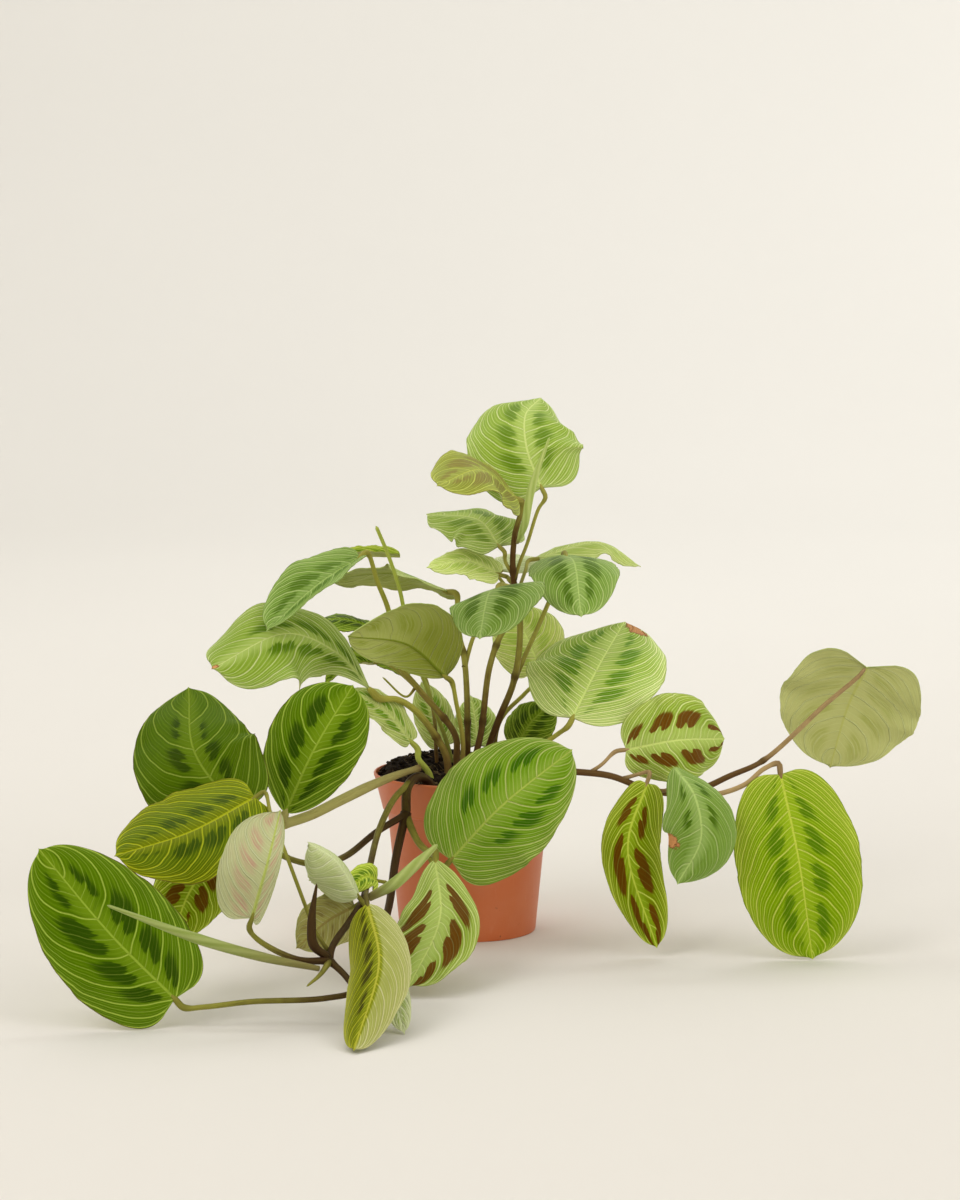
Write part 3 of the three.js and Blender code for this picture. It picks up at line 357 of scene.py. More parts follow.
LEAVES = [
    # Crown of the upright shoot
    Leaf("leaf_crown_top", "bright", (39, 39), -30, (2.5, 3), [(47, -4, 285), (38, 5, 308), (37, 28, 328),
         (47, 62, 337)], (-0.05, -0.8, 0.6), face_tip=(0.1, -0.45, 0.9), tip=1.6, shade=0.96, veins=4.6,
         blotch=(0.12, 0.5), reach=(0.12, 0.8), soft=1.6, ink=0.78),
    Leaf("leaf_crown_left", "lime", (27, 29), -18, (2.5, 2), [(31, -16, 279), (9, -42, 299),
         (-17, -68, 292)], (-0.1, -0.62, 0.78), lobe=2, top="flushed", shade=0.84, blotch=(0.1, 0.75),
         ink=0.5, streaks=0.7, fine=0.8, vein=1.0),
    Leaf("leaf_high_left", "bright", (23, 30), -38, (2.5, 3), [(20, -4, 248), (6, 14, 263), (-25, 36, 264)],
         (0, -0.4, 0.92), lobe=3, shade=0.84, soft=1.8, ink=0.72),
    Leaf("leaf_small_left", "fresh", (15, 15), -15, (1, 2), [(20, 5, 229), (0, 6, 237), (-24, -2, 234)],
         (0, -0.5, 0.87), lobe=5, shade=1.25, ink=0.25),
    Leaf("leaf_arched_right", "fresh", (17, 18), -30, (1.5, 2), [(46, 34, 236), (84, 51, 244),
         (111, 55, 229)], (0, -0.12, 1), lobe=6, ink=0.2),
    Leaf("leaf_behind_crown", "pale", (17, 17), -15, (1, 2), [(22, 36, 228), (34, 60, 233), (50, 84, 230)],
         (0, -0.25, 0.97), lobe=6, back="thin", ink=0.15),
    Leaf("leaf_middle_right", "bluish", (30, 30), -28, (1.5, 2), [(63, 12, 240), (68, -18, 237),
         (71, -46, 209)], (0, 0, 1), face_tip=(0, -0.9, 0.4), shade=1.05, ink=0.78, vein=0.7),
    Leaf("leaf_middle_left", "bluish", (36, 28), -20, (1.5, 2), [(19, -32, 224), (13, -52, 221.5),
         (8, -76, 199)], (-0.36, -0.1, 0.93), face_tip=(-0.3, -0.8, 0.5), lobe=8, shade=0.88, ink=0.78,
         vein=0.7),

    # Right of the pot's middle, and the leaves half hidden behind the stems
    Leaf("leaf_big_right", "bright", (50, 42), -20, (2, 3), [(66, -45, 144), (83, -22, 173),
         (101, 30, 194)], (-0.15, -0.62, 0.77), lobe=9, widest=0.52, top="striped", shade=1.18, veins=5.6,
         first=0.2, blotch=(0.2, 0.6), reach=(0.08, 0.82), fine=1.5, vein=1.0,
         scorched=((0.965, 0.55, 0.12),)),
    Leaf("leaf_behind_right", "fresh", (24, 24), -15, (1, 2), [(46, 40, 165), (38, 48, 184), (27, 66, 200)],
         (-0.1, -0.8, 0.55), shade=1.3, ink=0.3, vein=1.0),
    Leaf("leaf_low_right", "bright", (17, 17), -20, (1, 2), [(32, 12, 118), (41, 14, 132), (54, 22, 143)],
         (-0.2, -0.8, 0.55), lobe=6, top="deep"),
    Leaf("leaf_low_back", "bright", (14, 14), -15, (1, 2), [(6, 34, 114), (5, 46, 128), (2, 60, 141)],
         (0, -0.8, 0.6), lobe=6),
    Leaf("leaf_back_left", "fresh", (13, 13), -15, (1, 2), [(-16, 36, 114), (-23, 46, 133), (-30, 60, 150)],
         (-0.1, -0.8, 0.6), lobe=6),

    # Upper left group
    Leaf("leaf_underside", "underside", (36, 17), -30, (1.2, 2), [(-14, -17, 166), (-38, -42, 190),
         (-72, -82, 200)], (-0.15, 0.95, 0.3), lobe=0, widest=0.54, base=1.8, top="bright", back="olive"),
    Leaf("leaf_twisted", "deep", (20, 20), 10, (1.5, 2), [(-68, -20, 242), (-94, -46, 227),
         (-122, -78, 204)], (0.2, -0.1, 0.97), face_tip=(-0.5, -0.8, 0.3), fold=25, lobe=14, widest=0.56,
         top="bluish", ink=0.65, vein=0.6),
    Leaf("leaf_broad_left", "bright", (36, 30), -24, (4, 3), [(-60, -39, 160), (-83, -52, 187),
         (-114, -72, 200), (-154, -98, 183)], (0.1, -0.85, 0.5), face_tip=(-0.3, -0.7, 0.65), lobe=-6,
         widest=0.62, base=1.15, tip=2.5, shade=0.84, blotch=(0.14, 0.5), scorched=((1.0, 0.0, 0.045),)),
    Leaf("leaf_back_edge", "underside", (27, 27), -12, (1.5, 3), [(-13, 21, 216), (-47, 42, 225),
         (-90, 38, 222)], (0, 0.38, 0.92), top="fresh", back="olive"),
    Leaf("leaf_furled", "lime", (7, 7), 20, (0.5, 1), [(-43, 9.1, 240), (-70, 9.6, 240), (-97, 11.6, 238)],
         (0, -0.3, 0.95), fold=35, lobe=0),
    Leaf("leaf_sliver", "deep", (13, 13), -20, (1, 2), [(-60, 30, 191), (-82, 34, 196), (-105, 34, 193)],
         (0, -0.25, 0.97), lobe=4),
    Leaf("leaf_behind_under", "deep", (15, 15), -20, (1, 2), [(-35, 33, 164), (-54, 39, 175),
         (-76, 42, 176)], (0, -0.35, 0.93), lobe=4),
    Leaf("leaf_curled_small", "deep", (8, 8), 40, (1, 2), [(-61, 10, 171), (-76, 4, 171), (-90, -2, 160)],
         (0, -0.6, 0.8), fold=20, lobe=2),
    Leaf("leaf_low_left", "fresh", (10, 11), -20, (1.5, 3), [(-35.6, -27, 126), (-52, -33, 147),
         (-73, -42, 160)], (0.2, -0.85, 0.45), lobe=5),

    # Left trailing shoot
    Leaf("leaf_left_upright", "deep", (39, 38), -18, (1.5, 3), [(-136, -176, 109), (-161, -166, 142),
         (-167, -131, 174)], (-0.05, -0.85, 0.5), shade=0.7, veins=5.0, blotch=(0.14, 0.44),
         reach=(0.1, 0.72), spread=0.4, streaks=0.25, fine=0.22, vein=0.75),
    Leaf("leaf_left_second", "deep", (31, 27), -18, (1.5, 2), [(-110, -120, 97), (-92, -125, 137),
         (-70, -108, 172)], (0.05, -0.95, 0.3), lobe=-4, widest=0.58, tip=2.1, blotch=(0.2, 0.62),
         heart=0.4, glow=1.0, fine=0.45, vein=0.8),
    Leaf("leaf_left_yellow", "lime", (34, 34), -18, (1.5, 3), [(-124, -190, 119), (-160, -215, 103),
         (-200, -233, 93)], (-0.1, -0.72, 0.68), top="golden", shade=0.68, blotch=(0.16, 0.52), ink=0.85,
         fine=0.8),
    Leaf("leaf_left_pink", "pale", (8, 27), -25, (1.5, 2), [(-121.5, -256, 61.5), (-112, -263, 95),
         (-106, -247, 120)], (0.15, 0.9, 0.35), fold=-4, lobe=12, top="lime", back="pink"),
    Leaf("leaf_left_lowest", "deep", (38, 38), -14, (1.5, 3), [(-165, -268, 17), (-202, -264, 54),
         (-241, -258, 100)], (0.1, -0.9, 0.35), fine=0.4, vein=0.85),
    Leaf("leaf_left_hidden", "blotched", (22, 22), -15, (1, 2), [(-148, -180, 84), (-163, -196, 62),
         (-171, -206, 39)], (0, -0.95, 0.25), top="sunned", veins=3.6, spread=0.38, soft=0.6, ragged=0.4,
         solid=0.9),
    Leaf("leaf_rolled_pale", "pale", (23, 23), -95, (1, 1), [(-62.5, -207, 63.5), (-74.5, -221, 86.5),
         (-89.5, -228, 98.5)], (-0.2, -0.6, 0.8), fold=-15, lobe=4, back="thin", ink=0.2),
    Leaf("leaf_translucent", "underside", (17, 17), -15, (2, 2), [(-66, -194, 55), (-82, -200, 47),
         (-98, -208, 34)], (0.2, 0.9, 0.3), lobe=4, top="fresh", back="veined"),
    Leaf("leaf_small_top", "lime", (9, 9), -20, (1, 1), [(-53, -177, 67), (-60, -183, 70), (-69, -189, 63)],
         (-0.1, -0.8, 0.6), fold=15, lobe=2),
    Leaf("leaf_hanging_brown", "blotched", (25, 28), -18, (2.5, 3), [(-19, -120, 68), (-16, -163, 40),
         (-33, -194, 8)], (-0.12, -0.65, 0.75), widest=0.56, base=1.5, shade=0.84, veins=3.7, first=0.5,
         blotch=(0.25, 0.86), reach=(0.15, 0.95), spread=0.42, soft=0.6, ragged=0.4, solid=0.9, heart=0.62,
         glow=1.0),
    Leaf("leaf_hanging_yellow", "lime", (21, 24), -30, (1, 2), [(-57, -226, 63), (-49, -279, 39),
         (-61, -328, 3.5)], (-0.1, -0.75, 0.65), fold=-22, lobe=6, top="gilded", veins=6.0,
         blotch=(0.12, 0.5), spread=0.34, solid=0.7, faded=0.9),
    Leaf("leaf_floor_pale", "pale", (9, 9), -20, (0.5, 1), [(-44, -250, 31), (-40, -270, 18),
         (-35, -283, 2)], (0.1, -0.8, 0.6), lobe=2, back="thin"),

    # Front of the pot
    Leaf("leaf_big_front", "bright", (39, 37), -16, (2, 3), [(-10, -100, 64), (22, -109, 100),
         (63, -97, 131)], (-0.05, -0.95, 0.25), top="front", shade=0.87, veins=5.4, blotch=(0.3, 0.66),
         reach=(0.25, 0.82), spread=0.38, fine=0.8, vein=0.75),

    # Right trailing shoot
    Leaf("leaf_right_blotched", "blotched", (31, 26), -22, (2, 3), [(99, -60, 126), (130, -67, 133),
         (160, -42, 130)], (0, -0.97, 0.22), widest=0.5, tip=2.4, veins=3.5, first=0.35, shift=0.12,
         blotch=(0.22, 0.68), reach=(0.0, 0.95), spread=0.37, soft=0.6, ragged=0.3, solid=0.9, heart=0.5),
    Leaf("leaf_right_hanging", "blotched", (21, 18), -25, (1.5, 3), [(111, -79, 108), (99, -94, 68),
         (117, -87, 8)], (-0.1, -0.95, 0.3), fold=-8, lobe=8, widest=0.5, tip=2.1, top="sunned", veins=3.4,
         first=0.6, blotch=(0.15, 0.66), reach=(0.25, 0.95), spread=0.4, soft=0.6, ragged=0.3, solid=0.9),
    Leaf("leaf_right_hood", "bluish", (26, 26), -40, (1, 2), [(128, -86, 119), (139, -110, 105),
         (142, -119, 80), (129, -117, 54)], (0, -0.6, 0.8), face_tip=(0.05, -1, 0.1), fold=-8, widest=0.55,
         base=1.7, blotch=(0.2, 0.44), reach=(0.1, 0.7), spread=0.3, fine=0.5, vein=0.55,
         scorched=((0.78, 0.95, 0.13),)),
    Leaf("leaf_right_large", "lime", (39, 39), -14, (1.5, 3), [(194, -75, 113), (204, -98, 62),
         (213, -94, 2.5)], (0, -0.97, 0.2), widest=0.5, tip=2.2, shade=0.95, veins=5.6, blotch=(0.15, 0.5),
         reach=(0.06, 0.92), spread=0.42, ink=0.72),
    Leaf("leaf_right_under", "underside", (45, 45), -14, (2.5, 3), [(248, -60, 178), (238, -44, 150),
         (229, -34, 112)], (0.05, 0.9, 0.4), lobe=26, top="bright"),
]
LEAF_NAMED = {leaf.name: leaf for leaf in LEAVES}

# Rolled young leaves and a leaf sheath: how light each is, how many millimetres of its base are brown, its
# path, and its radius at even steps along the path
SPEARS = [
    ("spear_crown", 1.05, 14, [(31.7, -10.6, 250.5), (36, -37, 265), (40, -48, 288), (51, -50, 320)],
     (1.1, 2.4, 2.6, 0.6)),
    ("spear_left", 0.72, 85, [(-83.8, -258.3, 32.2), (-115, -276, 43), (-150, -288, 56), (-199, -302, 78)],
     (1.6, 2.8, 3.1, 0.8)),
    ("sheath_front", 0.82, 24, [(-56.8, -195.4, 60.4), (-42, -202, 70), (-29, -198, 81), (-17, -191, 91)],
     (2.4, 3.6, 3.2, 1.2)),
]


@dataclass
class Tube:
    """One stretch of stem: radii at even steps along a path in millimetres.

    A path with a leaf's name runs on into that leaf's base, and a rooted one starts in the soil. age is how
    old and brown the stem looks at even steps along it, and nodes are the places of its dark swollen joints,
    from 0 to 1.
    """

    radii: tuple
    path: list
    leaf: str = None
    rooted: bool = False
    age: tuple = None
    nodes: tuple = ()

    def points(self):
        points = [(*point, ROOT_END_HEIGHT) if len(point) == 2 else point for point in self.path]
        if self.leaf:
            points += LEAF_NAMED[self.leaf].petiole_end()
        return points

    def swell(self, at, total):
        """How much thicker the tube is at its start, at its nodes and in the joint under a blade."""
        size = np.ones_like(at)
        if not self.rooted:
            size += 0.28 * bell(at, 4.0)
        for share in self.nodes:
            size += 0.3 * bell(at - share * total, 2.2)
        if self.leaf:
            size += 0.34 * bell(total - at - SWOLLEN_JOINT, 6.0, 4)
            size *= 1 - 0.35 * np.clip((at - total + PETIOLE_REST) / PETIOLE_REST, 0, 1)
        return size

    def looks(self, at, total):
        """Age and darkness of the joints at a distance along the tube."""
        share = at / total
        ages = self.age or ((1, 0) if self.rooted else (0.5, 0))
        old = np.interp(share, np.linspace(0, 1, len(ages)), ages)
        joints = [0.0 if self.rooted else bell(at, 3.5)]
        joints += [bell((share - node) * total, 2.6) for node in self.nodes]
        if self.leaf:
            joints.append(0.35 * bell(total * (1 - share) - SWOLLEN_JOINT, 6.0, 4))
        return old, max(joints)


# Each shoot: its name, its colour slot, its colours and its joined tubes
SHOOTS = [
    ("shoot_crown", "brown", "brown", [
        Tube((2.3, 1.6), [(10, 6), (12, 6, 110), (20, 5, 135), (29, 2, 158), (33, 0, 181), (33, 0, 208),
             (29, -3, 229), (30, -9, 255)], "leaf_crown_left", rooted=True,
             age=(1, 1, 0.75, 0.5, 0.4, 0.85, 0.7, 0.25), nodes=(0.42, 0.62, 0.74)),
        Tube((1.2, 1.1), [(30, -3, 226), (33, -2, 236), (38, -1, 249), (45, -3, 271)], "leaf_crown_top"),
        Tube((1.2, 1), [(29, -3, 229), (24, -5, 238)], "leaf_high_left"),
        Tube((1.2, 1), [(30, -2, 222), (26, 3, 226)], "leaf_small_left"),
        Tube((1.2, 1), [(32, -1, 218), (37, 18, 229)], "leaf_arched_right"),
        Tube((1.2, 1), [(33, 0, 210), (25, 16, 219)], "leaf_behind_crown"),
        Tube((1.6, 1.2), [(29, 2, 158), (37, 8, 176), (50, 24, 203), (58, 24, 223)], "leaf_middle_right"),
    ]),
    ("shoot_middle", "brown", "brown", [
        Tube((2.2, 1.5), [(4, -7), (5, -6, 110), (9, -4, 130), (14, 0, 169), (21, 4, 189), (33, 10, 206),
             (40, -3, 216)], "leaf_middle_left", rooted=True, nodes=(0.3, 0.55)),
    ]),
    ("shoot_back", "brown", "brown", [
        Tube((2.1, 1.4), [(-1, 5), (0, 4, 131), (-2, 10, 173), (-7, 14, 196)], "leaf_back_edge",
             rooted=True, nodes=(0.38, 0.68)),
        Tube((1.5, 1.2), [(-2, 9, 168), (4, 18, 187), (9, 28, 192)]),
    ]),
    ("shoot_twisted", "olive", "olive", [
        Tube((2.3, 1.2), [(-8, -4), (-7, -5, 110), (-8, -7, 127), (-31, -5, 156), (-46, 0, 175),
             (-50, 0, 205), (-57, -7, 225)], "leaf_twisted", rooted=True, nodes=(0.32,)),
        Tube((0.9, 0.6), [(-33, -4, 157), (-39, -4, 151), (-54, -7, 164)]),
    ]),
    ("shoot_broad_left", "olive", "olive", [
        Tube((2.5, 1.7), [(-14, -13), (-13, -13, 112), (-20, -15, 127), (-32, -22, 144), (-44, -30, 153)],
             "leaf_broad_left", rooted=True, nodes=(0.45,)),
    ]),
    ("shoot_rod", "green", "green", [
        Tube((1.5, 1.2), [(-9, 12), (-11, 10, 110), (-23, 6, 147), (-37, 9, 186), (-43, 8, 217),
             (-50, 3, 240), (-58, -1, 260)], rooted=True),
    ]),
    ("shoot_underside", "olive", "olive", [
        Tube((1.7, 1.2), [(-3, -15), (-3, -13, 110), (-3, -12, 125), (-7, -13, 148)], "leaf_underside",
             rooted=True),
    ]),
    ("shoot_thin", "brown", "brown", [
        Tube((1.3, 1.1), [(-18, 2), (-20, 5, 112), (-22, 15, 139), (-28, 24, 158), (-46, 29, 184)],
             "leaf_sliver", rooted=True),
        Tube((1, 0.9), [(-25, 20, 149), (-26, 26, 156)], "leaf_behind_under"),
        Tube((1, 0.8), [(-22, 16, 141), (-40, 18, 160)], "leaf_curled_small"),
    ]),
    ("shoot_low_left", "green", "green", [
        Tube((2.4, 1), [(-22, -22), (-24, -24, 104), (-31, -27, 115)], "leaf_low_left", rooted=True),
    ]),
    ("shoot_low_back", "olive", "olive", [
        Tube((1.3, 1), [(-6, 26), (-9, 29, 106)], "leaf_back_left", rooted=True),
        Tube((1.1, 1), [(-9, 29, 106), (2, 30, 108)], "leaf_low_back"),
    ]),
    ("shoot_behind_right", "olive", "olive", [
        Tube((1.5, 1.1), [(18, 12), (20, 11, 131), (37, 24, 149)], "leaf_behind_right", rooted=True),
        Tube((1.1, 1), [(19, 11, 107), (24, 10, 110)], "leaf_low_right"),
    ]),
    ("shoot_big_right", "olive", "olive", [
        Tube((1.7, 1.3), [(15, -12), (20, -16, 104), (43, -34, 122), (58, -43, 134)], "leaf_big_right",
             rooted=True),
    ]),
    ("sheath_left", "straw", "straw", [
        Tube((1.8, 3.3, 3.1, 1.3), [(-30, -51, 113), (-45, -63, 110), (-60, -77, 106), (-78, -95, 100),
             (-98, -112, 93)], "leaf_left_second", age=(0.6, 0)),
    ]),
    ("runner_left", "purple", "purple", [
        Tube((3, 3), [(-20, -36), (-23, -40, 100), (-30, -49, 107), (-37, -62, 103), (-38, -70, 86)],
             rooted=True, age=(0.75, 0.7)),
        Tube((2.8, 1.3), [(-38, -70, 88), (-44, -85, 62), (-47, -112, 41), (-51, -150, 28), (-51, -205, 28),
             (-46, -235, 36)], "leaf_floor_pale", age=(0.95, 0.9)),
        Tube((2.2, 1.4), [(-38, -70, 87), (-55, -90, 80), (-74, -125, 71), (-90, -150, 71),
             (-110, -166, 80), (-122, -176, 93)], "leaf_left_upright", age=(0.9, 0.3)),
        Tube((1.2, 1), [(-106, -163, 78), (-126, -168, 88)], "leaf_left_hidden"),
        Tube((2.4, 1.4), [(-38, -70, 86), (-30, -84, 72), (-22, -100, 68)], "leaf_hanging_brown",
             age=(0.4, 0.15)),
        Tube((1.6, 1.3), [(-25, -93, 69), (-20, -97, 60)], "leaf_big_front", age=(0.3, 0.2)),
        Tube((2, 2), [(-36, -60, 105), (-45, -76, 98), (-53, -100, 85), (-58, -152, 70), (-61, -192, 58),
             (-68, -215, 50), (-77, -240, 40), (-78, -248, 32)], age=(0.35, 1.0)),
        Tube((1.3, 1), [(-60, -185, 60), (-58, -206, 66)], "leaf_hanging_yellow", age=(0.9, 0.5)),
        Tube((1.1, 1), [(-61, -190, 58), (-60, -198, 57)], "leaf_rolled_pale"),
        Tube((1, 0.8), [(-60, -183, 60), (-58, -184, 58)], "leaf_translucent"),
        Tube((0.9, 0.7), [(-59, -166, 66)], "leaf_small_top"),
        Tube((2.2, 0.7), [(-78, -246, 34), (-96, -256, 37), (-118, -248, 46)], "leaf_left_pink",
             age=(1, 0)),
        Tube((1.2, 1), [(-79, -240, 38), (-87, -237, 50), (-92, -233, 62), (-104, -221, 91),
             (-114, -200, 111)], "leaf_left_yellow"),
        Tube((1.9, 1.4), [(-78, -246, 34), (-68, -254, 26), (-64, -262, 20), (-80, -267, 17),
             (-122, -269, 15.5), (-148, -269, 12.5)], "leaf_left_lowest", age=(1, 0.1)),
        Tube((1.8, 2.9, 2.6, 0.6), [(-79, -246, 36), (-87, -250, 44), (-88, -251, 58), (-85, -251, 80)],
             age=(1.3, 1.3)),
        Tube((2, 0.6), [(-78, -246, 34), (-83, -260, 29), (-90, -272, 25)], age=(0.5, 0.3)),
    ]),
    ("runner_right", "brown", "tan", [
        Tube((2.4, 2.3, 2.2, 2.1, 2.0, 1.95, 1.6, 1.4, 1.1), [(14, -26), (18, -28, 104), (32, -36, 112),
             (46, -45, 114), (61, -55, 112), (89, -63, 110), (115, -66, 101), (139, -60, 99),
             (164, -62, 110), (184, -65, 120), (222, -73, 157), (242, -68, 173), (246.9, -61.7, 177.3)],
             rooted=True, age=(0.95, 0.9, 0.85, 0.8, 0.85, 0.95, 0.4, 0.4, 0.5), nodes=(0.53, 0.706)),
        Tube((1.2, 1), [(76, -59, 111), (84, -61, 117)], "leaf_right_blotched"),
        Tube((1.3, 0.9), [(96, -64, 108), (104, -67, 111)], "leaf_right_hanging"),
        Tube((1.3, 1), [(117, -66, 101), (124, -73, 103), (127, -81, 111), (128.1, -84.9, 117.9)],
             age=(0.6, 0.3)),
        Tube((1.7, 1.3), [(136, -61, 99), (152, -69, 99), (172, -72, 106), (184, -72, 116)],
             "leaf_right_large", age=(0.6, 0.15, 0.2, 0.6)),
    ]),
]


def srgb(code):
    """A colour written as rrggbb, as the linear red, green and blue that Blender works with."""
    parts = [int(code[k:k + 2], 16) / 255 for k in (0, 2, 4)]
    return tuple(p / 12.92 if p <= 0.04045 else ((p + 0.055) / 1.055) ** 2.4 for p in parts)


def colour_property(name, code):
    return bpy.props.FloatVectorProperty(
        name=name, description=f"Colour of the {name.lower()}", subtype="COLOR",
        size=3, min=0, max=1, default=srgb(code))


def length_property(name, description, default):
    return bpy.props.FloatProperty(
        name=name, description=description, default=default, min=0, subtype="DISTANCE", unit="LENGTH")


def power_property(name, default):
    return bpy.props.FloatProperty(
        name=name, description=f"Power of the {name.lower()}", default=default, min=0, unit="POWER")


def count_property(name, description, default, least, most):
    return bpy.props.IntProperty(name=name, description=description, default=default, min=least, max=most)


class LeafColours(bpy.types.PropertyGroup):
    """Colours of the leaves' two faces"""

    __annotations__ = {
        **{f"top_{kind}_{part}": colour_property(f"{kind} upper face {part}", code)
           for kind, codes in TOPS.items() for part, code in zip(TOP_PARTS, codes)},
        **{f"back_{kind}_{part}": colour_property(f"{kind} underside {part}", code)
           for kind, codes in BACKS.items() for part, code in zip(BACK_PARTS, codes)},
        "scorch": colour_property("scorched spots", "d89a66"),
        "burnt": colour_property("edge of the scorched spots", "80482a"),
    }


class LeafSizes(bpy.types.PropertyGroup):
    """Sizes of the leaf blades"""

    thickness: length_property("Blade thickness", "Thickness of a leaf blade", 0.45 * MM)
    quilting: length_property("Quilting", "How far the blade bulges between its side veins", 0.45 * MM)
    ridge: length_property("Midrib ridge", "How far the midrib stands out under the base", 1.0 * MM)
    groove: length_property("Midrib groove", "How deep the midrib lies in the upper face", 0.35 * MM)
    drip_tip: length_property("Drip tip", "Length of the small point at the tip", 2.2 * MM)
    rows: count_property("Rows", "Steps from base to tip of the largest leaves", 64, 16, 96)
    columns: count_property("Columns", "Steps from midrib to edge", 20, 8, 32)


class StemLooks(bpy.types.PropertyGroup):
    """Colours and sizes of the stems and of the rolled young leaves"""

    __annotations__ = {
        **{f"{kind}_{part}": colour_property(f"{kind} stem {part}", code)
           for kind, codes in STEMS.items() for part, code in zip(STEM_PARTS, codes)},
        "rolled_pale": colour_property("rolled leaf, light stripes", "c4d286"),
        "rolled_deep": colour_property("rolled leaf, dark stripes", "94aa50"),
        "sides": count_property("Sides", "Sides of a stem's section", 14, 6, 32),
        "step": length_property("Step", "Length of one ring of a stem", 1.6 * MM),
    }


class PotLooks(bpy.types.PropertyGroup):
    """Sizes and colours of the nursery pot"""

    height: length_property("Height", "Height of the pot", POT_TOP)
    top_radius: length_property("Top radius", "Outer radius of the rim", POT_RADIUS * MM)
    band_height: length_property("Band height", "Height of the flared rim band", 23.5 * MM)
    base_radius: length_property("Base radius", "Outer radius of the base", 43.75 * MM)
    wall: length_property("Wall", "Thickness of the wall", 1.4 * MM)
    plastic: colour_property("pot plastic", "cc6a38")
    worn: colour_property("worn plastic", "d48258")
    dirt: colour_property("soil dust on the pot", "5a3a24")


class SoilLooks(bpy.types.PropertyGroup):
    """Sizes and colours of the soil"""

    edge_drop: length_property("Edge drop", "Depth of the soil's edge under the rim", 6 * MM)
    mound: length_property("Mound", "Height of the soil's mound", 6.5 * MM)
    heap: length_property("Heap", "Extra height of the soil at the back and left", 15 * MM)
    peat: colour_property("peat", "1a0f07")
    dry_peat: colour_property("dry peat", "36281a")
    fibre: colour_property("fibres", "7c663e")
    crumbs: count_property("Crumbs", "Number of loose crumbs", 420, 0, 900)
    fibres: count_property("Fibres", "Number of loose fibres", 150, 0, 400)


class StageLooks(bpy.types.PropertyGroup):
    """The floor, the lights and the camera"""

    radius: length_property("Stage radius", "Radius of the stage", 4.6)
    height: length_property("Stage height", "Height of the stage's wall", 4.2)
    paper: colour_property("stage", "e4e1dc")
    key_power: power_property("Key light", 24)
    fill_power: power_property("Fill light", 20)
    top_power: power_property("Top light", 15)
    wall_power: power_property("Backdrop light", 76)
    sky: bpy.props.FloatProperty(
        name="Surrounding light", description="Strength of the even light around the stage",
        default=0.66, min=0)
    camera_place: bpy.props.FloatVectorProperty(
        name="Camera", description="Where the camera stands", default=(0.008, -2.2, 0.475), subtype="XYZ",
        unit="LENGTH")
    camera_pitch: bpy.props.FloatProperty(
        name="Pitch", description="How far the camera looks down", default=math.radians(6.8),
        subtype="ANGLE", unit="ROTATION")
    lens: bpy.props.FloatProperty(
        name="Focal length", description="Focal length on a 36 mm long side", default=104.4, min=10,
        unit="CAMERA")


def operators(operation):
    """An operator for a value on the left, and its reflected form for a value on the right."""
    def forward(self, other):
        return self.math(operation, other)

    def reflected(self, other):
        return self.shader.node("ShaderNodeMath", {"operation": operation}, {0: other, 1: self})

    return forward, reflected


class Value:
    """A socket that can be used in expressions. Each expression adds the Math nodes that work it out."""

    def __init__(self, shader, socket):
        self.shader = shader
        self.socket = socket

    __add__, __radd__ = operators("ADD")
    __sub__, __rsub__ = operators("SUBTRACT")
    __mul__, __rmul__ = operators("MULTIPLY")
    __pow__, __rpow__ = operators("POWER")

    def __abs__(self):
        return self.math("ABSOLUTE")

    def output(self, index):
        return Value(self.shader, self.socket.node.outputs[index])

    def math(self, operation, *others):
        sockets = dict(enumerate((self, *others)))
        return self.shader.node("ShaderNodeMath", {"operation": operation}, sockets)

    def rise(self, start, end):
        """0 below start, 1 above end and smooth between them; start may be the larger one."""
        return self.shader.node(
            "ShaderNodeMapRange", {"interpolation_type": "SMOOTHSTEP"},
            {0: self, 1: start, 2: end, 3: 0.0, 4: 1.0})

    def to_whole(self):
        """How far a value is from the nearest whole number."""
        return abs((self + 0.5).math("FRACT") - 0.5)


